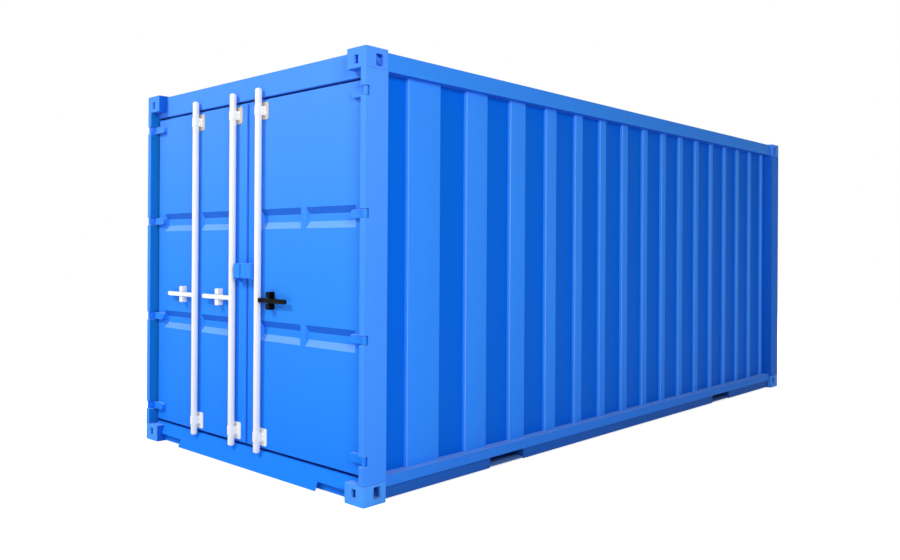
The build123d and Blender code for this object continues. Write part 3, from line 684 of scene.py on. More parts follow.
class ShapeTree:
    """A Geometry Nodes tree that is built once and grown on several base meshes."""

    title = "shape"
    inputs: tuple[NamedInput, ...] = ()

    def __init__(self) -> None:
        """Builds the tree with its geometry, named and material inputs."""
        self.tree = bpy.data.node_groups.new(self.title, "GeometryNodeTree")
        self.wires = Wiring(self.tree)
        face = self.tree.interface
        face.new_socket("Geometry", in_out="INPUT", socket_type="NodeSocketGeometry")
        for item in self.inputs:
            socket = face.new_socket(item.name, in_out="INPUT", socket_type=item.kind)
            if item.value is not None:
                socket.default_value = item.value
        face.new_socket("Finish", in_out="INPUT", socket_type="NodeSocketMaterial")
        face.new_socket("Geometry", in_out="OUTPUT", socket_type="NodeSocketGeometry")
        self.start = add_node(self.tree, "NodeGroupInput").outputs
        plain = self.wires.node("GeometryNodeRealizeInstances", {0: self.build()})
        coated = self.wires.node(
            "GeometryNodeSetMaterial", {"Geometry": plain, "Material": self.start["Finish"]}
        )
        add_node(self.tree, "NodeGroupOutput", {0: coated})

    def build(self) -> Socket:
        """Builds the middle of the tree and returns its geometry socket."""
        raise NotImplementedError

    def grow(self, base: Mesh, finish: Material, **values: object) -> Mesh:
        """Runs the tree on a base mesh and returns the result as a plain mesh.

        Args:
            base: The points or lines that the tree starts from.
            finish: The material of the result.
            values: The tree's named inputs, with underscores for spaces.

        Returns:
            A new plain mesh.
        """
        holder = link_object(self.title + "_base", base)
        modifier = holder.modifiers.new("shape", "NODES")
        modifier.node_group = self.tree
        wanted = {name.replace("_", " "): value for name, value in values.items()}
        wanted["Finish"] = finish
        for item in self.tree.interface.items_tree:
            if item.in_out == "INPUT" and item.name in wanted:
                modifier[item.identifier] = wanted[item.name]
        return plain_mesh(holder)


class PressedSheet(ShapeTree):
    """Bends a line of a sheet's face with a bend radius, and draws it out to a solid sheet."""

    title = "pressed_sheet"
    inputs = (
        NamedInput("Bend Radius", "NodeSocketFloat", 0.006),
        NamedInput("Draw", "NodeSocketVector"),
        NamedInput("Thickness", "NodeSocketFloat", 0.002),
    )
    bend_steps = 4

    def build(self) -> Socket:
        """Fillets the line, draws it out and gives it its thickness."""
        node, start = self.wires.node, self.start
        line = node("GeometryNodeMeshToCurve", {"Mesh": start["Geometry"]})
        bend = {"Curve": line, "Radius": start["Bend Radius"]}
        bend |= {"Limit Radius": True, "Count": self.bend_steps}
        bent = node("GeometryNodeFilletCurve", bend, mode="POLY")
        path = node("GeometryNodeCurveToMesh", {"Curve": bent})
        drawn = {"Mesh": path, "Offset": start["Draw"], "Offset Scale": 1.0}
        face = node("GeometryNodeExtrudeMesh", drawn, "Mesh", mode="EDGES")
        thick = {"Mesh": face, "Offset Scale": start["Thickness"], "Individual": False}
        back = node("GeometryNodeExtrudeMesh", thick, "Mesh", mode="FACES")
        turned = node("GeometryNodeFlipFaces", {"Mesh": face})
        whole = add_node(self.tree, "GeometryNodeJoinGeometry")
        for part in (back, turned):
            self.tree.links.new(part, whole.inputs[0])
        return node(
            "GeometryNodeMergeByDistance", {"Geometry": whole.outputs[0], "Distance": MERGE_GAP}
        )


class Head(Enum):
    """The heads of the fasteners: how many sides, how far the top narrows, and domed or not."""

    HEX = (6, 0.86, False)
    DOME = (12, 1.0, True)
    FLAT = (14, 0.8, False)


class Fasteners(ShapeTree):
    """Puts a bolt, rivet or screw head on each point, turned to face away from its plate."""

    title = "fasteners"
    inputs = (
        NamedInput("Sides", "NodeSocketInt", 6),
        NamedInput("Radius", "NodeSocketFloat", 0.009),
        NamedInput("Rise", "NodeSocketFloat", 0.005),
        NamedInput("Top Share", "NodeSocketFloat", 0.86),
        NamedInput("Domed", "NodeSocketBool", False),
        NamedInput("Seed", "NodeSocketInt", 7),
    )

    def head(self) -> Socket:
        """Makes one head: a cone cut off at the top, or a flattened ball."""
        node, start = self.wires.node, self.start
        radius, rise, sides = start["Radius"], start["Rise"], start["Sides"]
        top = self.wires.math("MULTIPLY", radius, start["Top Share"])
        cone = {"Vertices": sides, "Radius Top": top, "Radius Bottom": radius, "Depth": rise}
        cut_head = node("GeometryNodeMeshCone", cone, "Mesh")
        ball = node(
            "GeometryNodeMeshUVSphere", {"Segments": sides, "Rings": 6, "Radius": radius}, "Mesh"
        )
        flat_share = self.wires.math("DIVIDE", rise, radius)
        squash = node("ShaderNodeCombineXYZ", {0: 1.0, 1: 1.0, 2: flat_share})
        dome = node("GeometryNodeTransform", {"Geometry": ball, "Scale": squash})
        choice = {"Switch": start["Domed"], "False": cut_head, "True": dome}
        return node("GeometryNodeSwitch", choice, input_type="GEOMETRY")

    def build(self) -> Socket:
        """Turns a head away from the plate at each point, spun by a seeded angle."""
        node, start = self.wires.node, self.start
        head = self.head()
        facing = node(
            "GeometryNodeInputNamedAttribute", {"Name": "facing"}, data_type="FLOAT_VECTOR"
        )
        upright = node("FunctionNodeAlignRotationToVector", {"Vector": facing}, axis="Z")
        whole_turn = {2: 0.0, 3: 2 * math.pi, "Seed": start["Seed"]}
        spin = node("FunctionNodeRandomValue", whole_turn, 1, data_type="FLOAT")
        about_itself = node("FunctionNodeAxisAngleToRotation", {"Axis": UPWARD, "Angle": spin})
        turned = node(
            "FunctionNodeRotateRotation",
            {"Rotation": upright, "Rotate By": about_itself},
            rotation_space="LOCAL",
        )
        points = node("GeometryNodeMeshToPoints", {"Mesh": start["Geometry"]})
        return node(
            "GeometryNodeInstanceOnPoints",
            {"Points": points, "Instance": head, "Rotation": turned},
        )

    def place(
        self,
        name: str,
        places: Line,
        facing: Place,
        head: Head,
        size: Point,
        finish: Material,
        body: str,
        slot: str,
    ) -> Piece:
        """Sets heads of one kind on a list of points.

        Args:
            name: The new piece's name.
            places: Where each head sits, in millimetres.
            facing: The way that the heads face.
            head: The kind of head.
            size: The head's radius and rise in millimetres.
            finish: The material.
            body: The CAD body that carries them.
            slot: The record's material slot.

        Returns:
            The finished piece.
        """
        sides, top_share, domed = head.value
        mesh = self.grow(
            facing_points(name, places, facing),
            finish,
            Sides=sides,
            Radius=size[0] * MM,
            Rise=size[1] * MM,
            Top_Share=top_share,
            Domed=domed,
        )
        point_outwards(mesh, 40.0)
        return finished_object(name, mesh, body, slot)


class WeldBeads(ShapeTree):
    """Lays a rippled weld bead along each line."""

    title = "weld_beads"
    inputs = (
        NamedInput("Radius", "NodeSocketFloat", 0.0035),
        NamedInput("Ripple Spacing", "NodeSocketFloat", 0.009),
        NamedInput("Thinnest", "NodeSocketFloat", 0.75),
        NamedInput("Seed", "NodeSocketInt", 11),
    )
    sides = 6

    def build(self) -> Socket:
        """Draws a tube along each line, uneven from ripple to ripple."""
        node, start = self.wires.node, self.start
        line = node("GeometryNodeMeshToCurve", {"Mesh": start["Geometry"]})
        ripples = node(
            "GeometryNodeResampleCurve",
            {"Curve": line, "Length": start["Ripple Spacing"]},
            mode="LENGTH",
        )
        spread = {2: start["Thinnest"], 3: 1.0, "Seed": start["Seed"]}
        swell = node("FunctionNodeRandomValue", spread, 1, data_type="FLOAT")
        circle = {"Resolution": self.sides, "Radius": start["Radius"]}
        section = node("GeometryNodeCurvePrimitiveCircle", circle)
        tube = {"Curve": ripples, "Profile Curve": section, "Scale": swell, "Fill Caps": True}
        return node("GeometryNodeCurveToMesh", tube)

    def lay(
        self,
        name: str,
        lines: list[Line],
        radius: float,
        finish: Material,
        body: str,
        spacing: float = 9.0,
    ) -> Piece:
        """Lays beads along lines on one body.

        Args:
            name: The new piece's name.
            lines: The seams, each a list of points in millimetres.
            radius: The bead's radius in millimetres.
            finish: The material, which is that of the steel round it.
            body: The CAD body that carries them.
            spacing: How far apart the ripples are in millimetres.

        Returns:
            The finished piece.
        """
        mesh = self.grow(
            line_mesh(name, lines), finish, Radius=radius * MM, Ripple_Spacing=spacing * MM
        )
        point_outwards(mesh, 70.0)
        return finished_object(name, mesh, body, "blue_paint")


@dataclass
class Workshop:
    """What every sub-assembly is made with: the finishes and the three trees."""

    finishes: Finishes = field(default_factory=Finishes)
    sheet: PressedSheet = field(default_factory=PressedSheet)
    fasteners: Fasteners = field(default_factory=Fasteners)
    welds: WeldBeads = field(default_factory=WeldBeads)
    segments: int = 2
    flatness: float = 1.0

    def soften(
        self,
        node: str,
        radius: float,
        finish: Material,
        slot: str = "blue_paint",
        fold: float = 40.0,
    ) -> Piece:
        """Replaces a node by a copy of it whose folded or cut edges are rounded.

        Args:
            node: The CAD node.
            radius: The edge radius in millimetres.
            finish: The material.
            slot: The record's material slot.
            fold: Edges that turn by more than this many degrees are rounded.

        Returns:
            The new piece.
        """
        source = frame["nodes"][node]
        mesh = source.data.copy()
        work = bmesh.new()
        work.from_mesh(mesh)
        bmesh.ops.remove_doubles(work, verts=work.verts, dist=MERGE_GAP)
        flat = math.radians(self.flatness)
        bmesh.ops.dissolve_limit(work, angle_limit=flat, verts=work.verts, edges=work.edges)
        work.to_mesh(mesh)
        work.free()
        mesh.materials.clear()
        mesh.materials.append(finish)
        mesh.shade_smooth()
        holder = link_object(node + "_soft", mesh)
        bevel = holder.modifiers.new("edge", "BEVEL")
        bevel.width = radius * MM
        bevel.segments = self.segments
        bevel.limit_method = "ANGLE"
        bevel.angle_limit = math.radians(fold)
        bevel.use_clamp_overlap = True
        level = holder.modifiers.new("level_faces", "WEIGHTED_NORMAL")
        level.mode = "FACE_AREA"
        level.weight = 100
        rounded = plain_mesh(holder)
        piece = finished_object(node + "_rounded", rounded, source["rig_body"], slot)
        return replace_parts(piece, node)


# Sub-assemblies


@dataclass
class FlutedWalls:
    """The side, end and roof sheets, pressed into flutes between the frame's members."""

    shop: Workshop
    thickness: float = 2.0
    bend_radius: float = 5.0
    slope_run: float = 6.0
    first_trough: float = 227.0
    trough: float = 243.0
    crests: tuple[float, ...] = (
        (293.0, 221.0, 179.0, 137.0, 105.0, 95.0, 95.0, 85.0, 80.0, 80.0, 75.0) + (60.0,) * 5
    )
    end_reach: float = 1100.0
    end_pitch: float = 250.0
    end_crest_width: float = 110.0
    end_crests: int = 8
    roof_level: float = 2578.0
    roof_depth: float = 20.0
    roof_slope_run: float = 18.0
    roof_bend_radius: float = 9.0
    roof_pitch: float = 209.0
    roof_crest: float = 95.0
    roof_crests: int = 27
    roof_reach: float = 1139.0
    smooth_angle: float = 60.0
    bead_radius: float = 3.0
    ripple_spacing: float = 14.0

    def flutes(
        self, span: Point, low: float, high: float, crests: list[Point], run: float
    ) -> list[Point]:
        """The line of a fluted sheet's face.

        Args:
            span: Where the sheet starts and ends.
            low: The level of its troughs.
            high: The level of its crests.
            crests: Each crest's start and width.
            run: How far each slope takes along the sheet.

        Returns:
            Points as (along, level).
        """
        line = [(span[0], low)]
        for start, width in crests:
            line += [(start, low), (start + run, high)]
            line += [(start + width - run, high), (start + width, low)]
        return line + [(span[1], low)]

    def side_line(self) -> list[Point]:
        """The face of a side sheet, whose crests narrow from the doors to the blind end."""
        crests = []
        start = SIZES.frame_inner + self.first_trough
        for width in self.crests:
            crests.append((start, width))
            start += width + self.trough
        span = (SIZES.frame_inner, SIZES.blind_inner)
        low = SIZES.wall_crest - SIZES.wall_depth
        return self.flutes(span, low, SIZES.wall_crest, crests, self.slope_run)

    def even_crests(self, count: int, pitch: float, width: float) -> list[Point]:
        """Evenly spaced crests about the middle, each as its start and width."""
        first = -(count - 1) * pitch / 2 - width / 2
        return [(first + index * pitch, width) for index in range(count)]

    def press(
        self,
        name: str,
        lines: list[Line],
        finish: Material,
        draw: Place,
        inwards: float = 1.0,
        bend_radius: float | None = None,
    ) -> Mesh:
        """Presses one mesh of sheets from the lines of their faces.

        Args:
            name: The mesh's name.
            lines: The faces' lines in millimetres.
            finish: The material.
            draw: How far and which way the lines are drawn out, in millimetres.
            inwards: One or minus one, for the side on which the metal lies.
            bend_radius: The bends' radius, or None for that of the walls.

        Returns:
            The closed sheets, with their faces outwards.
        """
        mesh = self.shop.sheet.grow(
            line_mesh(name, lines),
            finish,
            Bend_Radius=(bend_radius or self.bend_radius) * MM,
            Draw=tuple(step * MM for step in draw),
            Thickness=inwards * self.thickness * MM,
        )
        point_outwards(mesh, self.smooth_angle)
        return mesh

    def hang(self, node: str, mesh: Mesh) -> None:
        """Puts a pressed sheet in the place of its CAD node."""
        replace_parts(finished_object(node + "_sheet", mesh, "root", "blue_paint"), node)

    def weld(self, name: str, seams: list[Line], finish: Material) -> None:
        """Welds sheets along their seams."""
        self.shop.welds.lay(name, seams, self.bead_radius, finish, "root", self.ripple_spacing)

    def build(self) -> None:
        """Builds the two side sheets, the end sheet, the roof sheet and their welds."""
        self.build_sides()
        self.build_end()
        self.build_roof()

    def build_sides(self) -> None:
        """Builds both side sheets, welded to the rails along head and foot."""
        low, high = SIZES.base_top, SIZES.casting_under
        finish = self.shop.finishes.side_sheet
        seams = []
        for side, sign in SIDES.items():
            line = [(x, sign * y) for x, y in self.side_line()]
            feet, heads = ([(x, y, level) for x, y in line] for level in (low, high))
            mesh = self.press(side, [feet], finish, (0.0, 0.0, high - low), -sign)
            self.hang(side + "_side_wall", mesh)
            seams += [feet, heads]
        self.weld("side_wall_welds", seams, finish)

    def build_end(self) -> None:
        """Builds the blind end's sheet, which stands on the castings beside its rail."""
        low = SIZES.end_crest - SIZES.wall_depth
        crests = self.even_crests(self.end_crests, self.end_pitch, self.end_crest_width)
        reach = (-self.end_reach, self.end_reach)
        line = self.flutes(reach, low, SIZES.end_crest, crests, self.slope_run)
        bottom, top = SIZES.base_top, SIZES.casting_under
        finish = self.shop.finishes.end_sheet
        seams = [[(x, y, level) for y, x in line] for level in (bottom, top)]
        mesh = self.press("end", seams[:1], finish, (0.0, 0.0, top - bottom))
        skirts = []
        for sign in SIDES.values():
            foot = sorted((sign * SIZES.casting_inner, sign * self.end_reach))
            skirts.append([(low, y, SIZES.casting_height) for y in foot])
        drop = bottom - SIZES.casting_height
        work = bmesh.new()
        for part in (mesh, self.press("end_feet", skirts, finish, (0.0, 0.0, drop))):
            work.from_mesh(part)
        work.to_mesh(mesh)
        work.free()
        self.hang("blind_end_wall", mesh)
        self.weld("end_wall_welds", seams, finish)

    def build_roof(self) -> None:
        """Builds the roof sheet, fluted across the width."""
        low = self.roof_level - self.roof_depth
        crests = self.even_crests(self.roof_crests, self.roof_pitch, self.roof_crest)
        span = (SIZES.frame_inner, SIZES.blind_inner)
        line = self.flutes(span, low, self.roof_level, crests, self.roof_slope_run)
        finish = self.shop.finishes.roof_sheet
        seams = [[(x, y, z) for x, z in line] for y in (-self.roof_reach, self.roof_reach)]
        across = (0.0, 2 * self.roof_reach, 0.0)
        mesh = self.press("roof", seams[:1], finish, across, 1.0, self.roof_bend_radius)
        self.hang("roof_panel", mesh)
        self.weld("roof_welds", seams, finish)


@dataclass
class SteelFrame:
    """Castings, posts, header, sill, rails and the underframe."""

    shop: Workshop
    fold_radius: float = 5.0
    plate_radius: float = 3.0
    rail_radius: float = 2.5
    casting_radius: float = 2.5
    member_radius: float = 2.0
    bead_radius: float = 3.5
    blind_face: float = 2963.0
    top_rail_inner: float = 1142.0
    side_rail_seam: Point = (82.0, 142.0)
    end_rail_seam: Point = (18.0, 140.0)

    def build(self) -> None:
        """Rounds the folded edges, paints every member and welds the joints."""
        looks = self.shop.finishes
        members = (
            (("left_door_post", "right_door_post"), self.plate_radius, looks.door_post),
            (("blind_posts",), self.fold_radius, looks.shaded_frame_steel),
            (("door_header", "door_sill"), self.plate_radius, looks.door_frame),
            (
                ("left_top_rail", "right_top_rail", "blind_top_rail"),
                self.fold_radius,
                looks.top_rail,
            ),
            (
                ("left_bottom_rail", "right_bottom_rail", "blind_bottom_rail"),
                self.rail_radius,
                looks.lower_rail,
            ),
            (
                ("corner_castings_top", "corner_castings_bottom"),
                self.casting_radius,
                looks.casting,
            ),
            (("cross_members", "forklift_pockets"), self.member_radius, looks.underframe),
        )
        for nodes, radius, finish in members:
            for node in nodes:
                self.shop.soften(node, radius, finish)
        dress("hinge_pins", looks.zinc)
        self.shop.welds.lay(
            "frame_welds", self.seams(), self.bead_radius, looks.shaded_frame_steel, "root"
        )

    def seams(self) -> list[Line]:
        """The seams where rails, header and sill meet the castings."""
        seams = []
        under, top = SIZES.casting_under, SIZES.header_top - 3
        for sign in SIDES.values():
            face = sign * SIZES.rail_face
            for x in (SIZES.frame_inner, SIZES.blind_inner):
                for levels in ((under + 4, top - 2), self.side_rail_seam):
                    seams.append([(x, face, level) for level in levels])
                seams.append([(x, face, top), (x, sign * self.top_rail_inner, top)])
            inner = sign * SIZES.casting_inner
            for x, levels in (
                (SIZES.frame_face, (under + 2, top)),
                (self.blind_face, (under + 2, top)),
                (self.blind_face, self.end_rail_seam),
            ):
                seams.append([(x, inner, level) for level in levels])
        return seams


@dataclass
class PlywoodFloor:
    """The boards of the cargo floor and the screws that hold them to the members."""

    shop: Workshop
    member_pitch: float = 300.0
    member_rows: int = 19
    pocket_x: float = 1681.0
    pocket_reach: float = 231.0
    screw_rows: tuple[float, ...] = (60.0, 330.0, 600.0, 870.0, 1080.0)
    screw: Point = (7.0, 0.8)

    def build(self) -> None:
        """Stains the boards and screws them down, except over the forklift pockets."""
        looks = self.shop.finishes
        dress("floor_boards", looks.plywood)
        start = -(self.member_rows - 1) * self.member_pitch / 2
        places = []
        for step in range(self.member_rows):
            x = start + step * self.member_pitch
            if abs(abs(x) - self.pocket_x) > self.pocket_reach:
                places += [
                    (x, sign * y, SIZES.floor_top)
                    for y in self.screw_rows
                    for sign in SIDES.values()
                ]
        place = self.shop.fasteners.place
        size, zinc = self.screw, looks.zinc
        place("floor_screws", places, UPWARD, Head.FLAT, size, zinc, "root", "pin_steel")


@dataclass
class DoorLeaf:
    """One door: pressed skin, tube frame, seal with its strip, and hinges."""

    shop: Workshop
    side: str
    skin_radius: float = 1.4
    skin_fold: float = 12.0
    tube_radius: float = 3.0
    hinge_radius: float = 2.0
    box_radius: float = 1.5
    seal_front: float = -2950.0
    seal_section: tuple[Point, ...] = (
        (0.0, 0.0),
        (0.0, 6.5),
        (1.5, 8.0),
        (4.0, 8.0),
        (6.0, 4.5),
        (10.5, 4.5),
        (12.0, 7.5),
        (14.5, 7.5),
        (16.0, 4.5),
        (19.5, 4.5),
        (21.5, 8.0),
        (23.5, 8.0),
        (25.0, 6.5),
        (25.0, 0.0),
    )
    ring_smooth_angle: float = 32.0
    strip_edge: float = -2.0
    strip_width: float = 22.0
    strip_thickness: float = 1.5
    rivet: Point = (4.5, 1.2)
    rivet_spacing: float = 150.0
    hinge_levels: tuple[float, ...] = (256.0, 935.0, 1650.0, 2340.0)
    hinge_half: float = 25.0
    pad: Point = (1055.5, 1149.5)
    bead_radius: float = 3.0
    ripple_spacing: float = 6.0

    @property
    def body(self) -> str:
        """The CAD body of this door."""
        return self.side + "_door"

    @property
    def sign(self) -> float:
        """One on the left, minus one on the right."""
        return SIDES[self.side]

    def build(self) -> None:
        """Rounds and paints the door's pieces, and adds its seal, strip and welds."""
        box = "left_lock_keeper" if self.side == "left" else "right_lock_box"
        finish = self.shop.finishes.door
        soften = self.shop.soften
        soften(self.body + "_skin", self.skin_radius, finish, fold=self.skin_fold)
        for part in ("_stiles", "_rails"):
            soften(self.body + part, self.tube_radius, finish)
        soften(self.body + "_hinges", self.hinge_radius, finish)
        soften(box, self.box_radius, finish)
        self.build_seal()
        self.build_strip()
        self.weld_hinges()

    def border(self, outwards: float) -> list[Point]:
        """The door's edge, moved outwards, as four corners (y, z) in order."""
        near = self.sign * (SIZES.door_free_edge - outwards)
        far = self.sign * (SIZES.door_hinge_edge + outwards)
        low, high = SIZES.door_bottom - outwards, SIZES.door_top + outwards
        return [(near, low), (far, low), (far, high), (near, high)]

    def frame_mesh(self, name: str, section: list[Point], finish: Material) -> Mesh:
        """Carries a closed section round the door's edge with mitred corners.

        Args:
            name: The mesh's name.
            section: Points as (x, how far out of the door's edge) in millimetres.
            finish: The material.

        Returns:
            The closed ring.
        """
        work = bmesh.new()
        rings = []
        for x, outwards in section:
            corners = [Vector((x, y, z)) * MM for y, z in self.border(outwards)]
            rings.append([work.verts.new(corner) for corner in corners])
        for ring, following in zip(rings, rings[1:] + rings[:1]):
            bridge(work, ring, following)
        return solid_mesh(work, name, finish, self.ring_smooth_angle)

    def build_seal(self) -> None:
        """Carries the three-lipped seal round the door's edge."""
        section = [(self.seal_front + depth, lip) for depth, lip in self.seal_section]
        mesh = self.frame_mesh(self.side + "_seal", section, self.shop.finishes.seal)
        node = self.body + "_gasket"
        piece = finished_object(node + "_lips", mesh, self.body, "rubber_seal")
        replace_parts(piece, node)

    def build_strip(self) -> None:
        """Rivets the flat strip that clamps the seal, on the inner face of the door."""
        zinc = self.shop.finishes.zinc
        front = SIZES.door_inner
        back = front + self.strip_thickness
        edge, inner = self.strip_edge, self.strip_edge - self.strip_width
        section = [(front, edge), (back, edge), (back, inner), (front, inner)]
        mesh = self.frame_mesh(self.side + "_strip", section, zinc)
        finished_object(self.side + "_seal_strip", mesh, self.body, "pin_steel")
        places = []
        corners = self.border(edge - self.strip_width / 2)
        for corner, following in zip(corners, corners[1:] + corners[:1]):
            run = Vector(following) - Vector(corner)
            count = round(run.length / self.rivet_spacing)
            for step in range(count):
                y, z = Vector(corner) + run * (step + 0.5) / count
                places.append((back, y, z))
        place = self.shop.fasteners.place
        name, size = self.side + "_strip_rivets", self.rivet
        place(name, places, INWARD, Head.DOME, size, zinc, self.body, "pin_steel")

    def weld_hinges(self) -> None:
        """Lays a bead above and below each hinge pad where it meets the door."""
        near, far = (self.sign * y for y in self.pad)
        face = SIZES.frame_face
        seams = [
            [(face, far, level + half), (face, near, level + half)]
            for level in self.hinge_levels
            for half in (-self.hinge_half, self.hinge_half)
        ]
        name, finish = self.side + "_hinge_welds", self.shop.finishes.door
        lay = self.shop.welds.lay
        lay(name, seams, self.bead_radius, finish, self.body, self.ripple_spacing)


@dataclass
class LockBar:
    """One turning lock rod with its lever."""

    shop: Workshop
    name: str
    y: float
    handle_length: float
    x: float = -2992.5
    radius: float = 22.5
    levels: Point = (120.0, 2492.0)
    end_round: float = 14.0
    end_steps: int = 6
    sides: int = 32
    handle_level: float = 1115.0
    handle_height: float = 30.0
    handle_thickness: float = 12.0
    handle_forward: float = 6.0
    handle_into_rod: float = 3.0
    tip_steps: int = 12
    lever_edge: float = 2.6
    edge_steps: int = 3
    pivot_from_bar: float = 44.0
    pivot_bolt: Point = (9.0, 5.0)

    @property
    def body(self) -> str:
        """The CAD body that turns with this rod."""
        return self.name + "_lock"

    def rod_section(self) -> list[Point]:
        """Half of the rod's section as (radius, level), with rounded ends."""
        low, high = self.levels
        inner = self.radius - self.end_round
        curve = []
        for step in range(self.end_steps + 1):
            turn = math.radians(90 * step / self.end_steps)
            rise = self.end_round * (1 - math.cos(turn))
            curve.append((inner + self.end_round * math.sin(turn), rise))
        lower = [(radius, low + rise) for radius, rise in curve]
        upper = [(radius, high - rise) for radius, rise in reversed(curve)]
        return lower + upper

    def build_rod(self) -> None:
        """Turns the rod as one closed mesh."""
        work = bmesh.new()
        rings = []
        for radius, level in self.rod_section():
            ring = []
            for side in range(self.sides):
                turn = 2 * math.pi * side / self.sides
                place = (self.x + radius * math.cos(turn), self.y + radius * math.sin(turn), level)
                ring.append(work.verts.new(Vector(place) * MM))
            rings.append(ring)
        for lower, upper in zip(rings, rings[1:]):
            bridge(work, lower, upper)
        work.faces.new(reversed(rings[0]))
        work.faces.new(rings[-1])
        name = self.name + "_rod"
        mesh = solid_mesh(work, name, self.shop.finishes.rod)
        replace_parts(finished_object(name, mesh, self.body, "white_paint"), self.name + "_bar")

    def lever_outline(self) -> list[Point]:
        """The lever's outline from the rod outwards, as (along, rise), with a round tip."""
        half = self.handle_height / 2
        start = self.radius - self.handle_into_rod
        reach = self.handle_length - half
        outline = [(start, -half), (reach, -half)]
        for step in range(1, self.tip_steps):
            turn = math.radians(-90 + 180 * step / self.tip_steps)
            outline.append((reach + half * math.cos(turn), half * math.sin(turn)))
        return outline + [(reach, half), (start, half)]

    def build_handle(self, finish: Material, slot: str) -> None:
        """Forges the lever: a flat bar with a round tip, soft edges and its pivot bolt.

        Args:
            finish: The lever's material.
            slot: The record's material slot.
        """
        sign = 1 if self.y > 0 else -1
        front = self.x - self.handle_forward - self.handle_thickness / 2
        work = bmesh.new()
        faces = []
        for x in (front, front + self.handle_thickness):
            places = [
                (x, self.y + sign * along, self.handle_level + rise)
                for along, rise in self.lever_outline()
            ]
            faces.append([work.verts.new(Vector(place) * MM) for place in places])
        work.faces.new(faces[0])
        work.faces.new(reversed(faces[1]))
        bridge(work, faces[1], faces[0])
        bmesh.ops.recalc_face_normals(work, faces=work.faces)
        rims = [
            edge for edge in work.edges if abs(edge.verts[0].co.x - edge.verts[1].co.x) < MERGE_GAP
        ]
        bmesh.ops.bevel(
            work,
            geom=rims,
            offset=self.lever_edge * MM,
            segments=self.edge_steps,
            affect="EDGES",
            profile=0.5,
        )
        name = self.name + "_lever"
        mesh = solid_mesh(work, name, finish)
        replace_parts(finished_object(name, mesh, self.body, slot), self.name + "_handle")
        bolt = self.name + "_pivot_bolt"
        pivot = (front, self.y + sign * self.pivot_from_bar, self.handle_level)
        place = self.shop.fasteners.place
        place(bolt, [pivot], FORWARD, Head.HEX, self.pivot_bolt, finish, self.body, slot)


@dataclass
class LockGear:
    """The three lock rods with their levers, brackets, straps and catches."""

    shop: Workshop
    rods: dict[str, Point] = field(
        default_factory=lambda: {
            "left_outer": (602.0, 355.0),
            "left_inner": (137.0, 355.0),
            "right_inner": (-154.0, 312.0),
        }
    )
    bracket_levels: Point = (225.0, 2344.0)
    bracket_face: float = -2968.0
    bracket_radius: float = 1.5
    strap_radius: float = 0.9
    catch_radius: float = 2.0
    foot_face: float = -2971.5
    foot_from_bar: float = 37.5
    bolt_rise: float = 17.0
    bolt: Point = (8.0, 5.0)
    rivet: Point = (5.0, 2.0)
    plate_rivets: Point = (62.0, 44.0)

    def build(self) -> None:
        """Builds the rods and levers, and paints and bolts the plates that carry them."""
        looks = self.shop.finishes
        soften = self.shop.soften
        white, black = (looks.rod, "white_paint"), (looks.black, "black_paint")
        for name, (y, handle_length) in self.rods.items():
            rod = LockBar(self.shop, name, y, handle_length)
            rod.build_rod()
            rod.build_handle(*(black if name == "right_inner" else white))
        for side, sign in SIDES.items():
            soften(side + "_bar_brackets", self.bracket_radius, looks.plate, "white_paint")
            soften(side + "_bar_straps", self.strap_radius, *white)
            self.fasten(side, [y for y, _ in self.rods.values() if y * sign > 0])
        soften("left_handle_retainers", self.catch_radius, *white)
        soften("right_handle_retainers", self.catch_radius, *black)

    def fasten(self, side: str, bars: list[float]) -> None:
        """Bolts the straps through the brackets of one door, and rivets the brackets.

        Args:
            side: The door.
            bars: Where its rods stand across the door.
        """
        bolts, rivets = [], []
        across_rivet, up_rivet = self.plate_rivets
        for y in bars:
            for level in self.bracket_levels:
                for across in (-1, 1):
                    for up in (-1, 1):
                        bolt_y = y + across * self.foot_from_bar
                        bolts.append((self.foot_face, bolt_y, level + up * self.bolt_rise))
                        rivet_y = y + across * across_rivet
                        rivets.append((self.bracket_face, rivet_y, level + up * up_rivet))
        looks, body, slot = self.shop.finishes, side + "_door", "white_paint"
        for name, places, head, size, finish in (
            ("_strap_bolts", bolts, Head.HEX, self.bolt, looks.rod),
            ("_plate_rivets", rivets, Head.DOME, self.rivet, looks.plate),
        ):
            self.shop.fasteners.place(
                side + name, places, FORWARD, head, size, finish, body, slot
            )


# Studio


@dataclass(frozen=True)
class SoftLamp:
    """One square soft lamp: where it hangs, what it points at, its side and its watts."""

    name: str
    place: Place
    target: Place
    size: float
    power: float

    def hang(self) -> None:
        """Hangs the lamp in the scene."""
        data = bpy.data.lights.new(self.name, "AREA")
        data.shape = "SQUARE"
        data.size = self.size
        data.energy = self.power
        aim = Vector(self.target) - Vector(self.place)
        turned = aim.to_track_quat("-Z", "Y").to_matrix().to_4x4()
        link_object(self.name, data).matrix_world = Matrix.Translation(self.place) @ turned


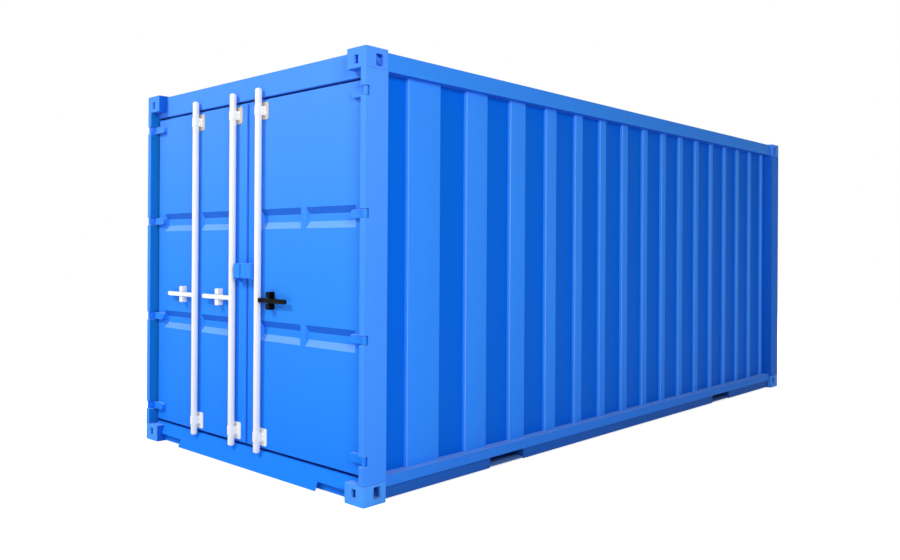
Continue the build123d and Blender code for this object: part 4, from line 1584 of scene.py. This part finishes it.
@dataclass
class Studio:
    """Pale floor, white surroundings, soft lamps and the camera of the photograph."""

    eye: Place = (-6.1856, -4.6435, 1.4498)
    yaw: float = 44.117
    pitch: float = 0.076
    roll: float = 0.343
    sensor: float = 36.0
    focal_pixels: float = 833.5
    picture_width: float = 900.0
    shift_pixels: Point = (38.44, -31.79)
    clip_end: float = 200.0
    floor_half: float = 30.0
    floor_hex: str = "#efefef"
    white_hex: str = "#ffffff"
    lift: float = 0.77
    ambient: float = 0.28
    lamps: tuple[SoftLamp, ...] = (
        SoftLamp("door_lamp", (-9.0, 3.0, 7.6), (-3.0, 0.0, 1.2), 1.6, 500.0),
        SoftLamp("side_lamp", (-5.2, -5.6, 3.6), (-2.4, -1.2, 1.3), 1.6, 160.0),
        SoftLamp("far_lamp", (8.5, 9.0, 5.5), (0.5, 0.5, 1.2), 4.0, 900.0),
        SoftLamp("roof_lamp", (1.0, 0.0, 9.0), (0.5, 0.0, 2.6), 4.0, 420.0),
    )

    def build(self) -> None:
        """Builds the whole studio."""
        self.build_camera()
        self.build_floor()
        self.build_world()
        for lamp in self.lamps:
            lamp.hang()
        bpy.context.scene.view_settings.view_transform = "Standard"

    def build_camera(self) -> None:
        """Places the camera where the photograph was taken from."""
        yaw, pitch, roll = (math.radians(value) for value in (self.yaw, self.pitch, self.roll))
        ahead = Vector(
            (math.cos(pitch) * math.cos(yaw), math.cos(pitch) * math.sin(yaw), math.sin(pitch))
        )
        right = Vector((math.sin(yaw), -math.cos(yaw), 0.0))
        above = right.cross(ahead)
        turned_right = right * math.cos(roll) + above * math.sin(roll)
        turned_above = above * math.cos(roll) - right * math.sin(roll)
        data = bpy.data.cameras.new("photo_camera")
        data.sensor_width = self.sensor
        data.lens = self.focal_pixels / self.picture_width * self.sensor
        data.shift_x, data.shift_y = (shift / self.picture_width for shift in self.shift_pixels)
        data.clip_end = self.clip_end
        camera = link_object("photo_camera", data)
        axes = Matrix((turned_right, turned_above, -ahead)).transposed().to_4x4()
        camera.matrix_world = Matrix.Translation(self.eye) @ axes
        bpy.context.scene.camera = camera

    def seen_directly(self, wires: Wiring) -> Socket:
        """One for what the camera sees, straight or through gloss or glass, and zero for light."""
        path = add_node(wires.tree, "ShaderNodeLightPath").outputs
        first = wires.math("MAXIMUM", path["Is Camera Ray"], path["Is Glossy Ray"])
        return wires.math("MAXIMUM", first, path["Is Transmission Ray"])

    def build_floor(self) -> None:
        """Lays the pale floor, which shows white away from the container's shadow."""
        half = self.floor_half
        mesh = bpy.data.meshes.new("studio_floor")
        corners = [(-half, -half, 0), (half, -half, 0), (half, half, 0), (-half, half, 0)]
        mesh.from_pydata(corners, [], [(0, 1, 2, 3)])
        material = bpy.data.materials.new("studio_floor_pale_paint")
        wires = cleared(material)
        matte = wires.node("ShaderNodeBsdfDiffuse", {"Color": linear(self.floor_hex)})
        strength = wires.math("MULTIPLY", self.seen_directly(wires), self.lift)
        glow = wires.node(
            "ShaderNodeEmission", {"Color": linear(self.white_hex), "Strength": strength}
        )
        both = wires.node("ShaderNodeAddShader", {0: matte, 1: glow})
        wires.end("ShaderNodeOutputMaterial", both)
        mesh.materials.append(material)
        link_object("studio_floor", mesh)

    def build_world(self) -> None:
        """Makes the surroundings white to the eye and an even soft light on the container."""
        world = bpy.data.worlds.new("studio_white")
        bpy.context.scene.world = world
        wires = cleared(world)
        strength = wires.map_range(self.seen_directly(wires), target=(self.ambient, 1.0))
        glow = wires.node(
            "ShaderNodeBackground", {"Color": linear(self.white_hex), "Strength": strength}
        )
        wires.end("ShaderNodeOutputWorld", glow)


def clear_startup_objects() -> None:
    """Removes what Blender's own start file brings, so that only the frame is left."""
    kept = set(frame["nodes"].values()) | set(frame["bodies"].values())
    for item in list(bpy.data.objects):
        if item not in kept:
            bpy.data.objects.remove(item)


def main() -> None:
    """Builds the sub-assemblies in order and reports each piece."""
    logging.basicConfig(level=logging.INFO, format="%(name)s: %(message)s")
    clear_startup_objects()
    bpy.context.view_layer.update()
    shop = Workshop()
    SteelFrame(shop).build()
    FlutedWalls(shop).build()
    PlywoodFloor(shop).build()
    for side in SIDES:
        DoorLeaf(shop, side).build()
    LockGear(shop).build()
    Studio().build()


if __name__ == "__main__":
    main()
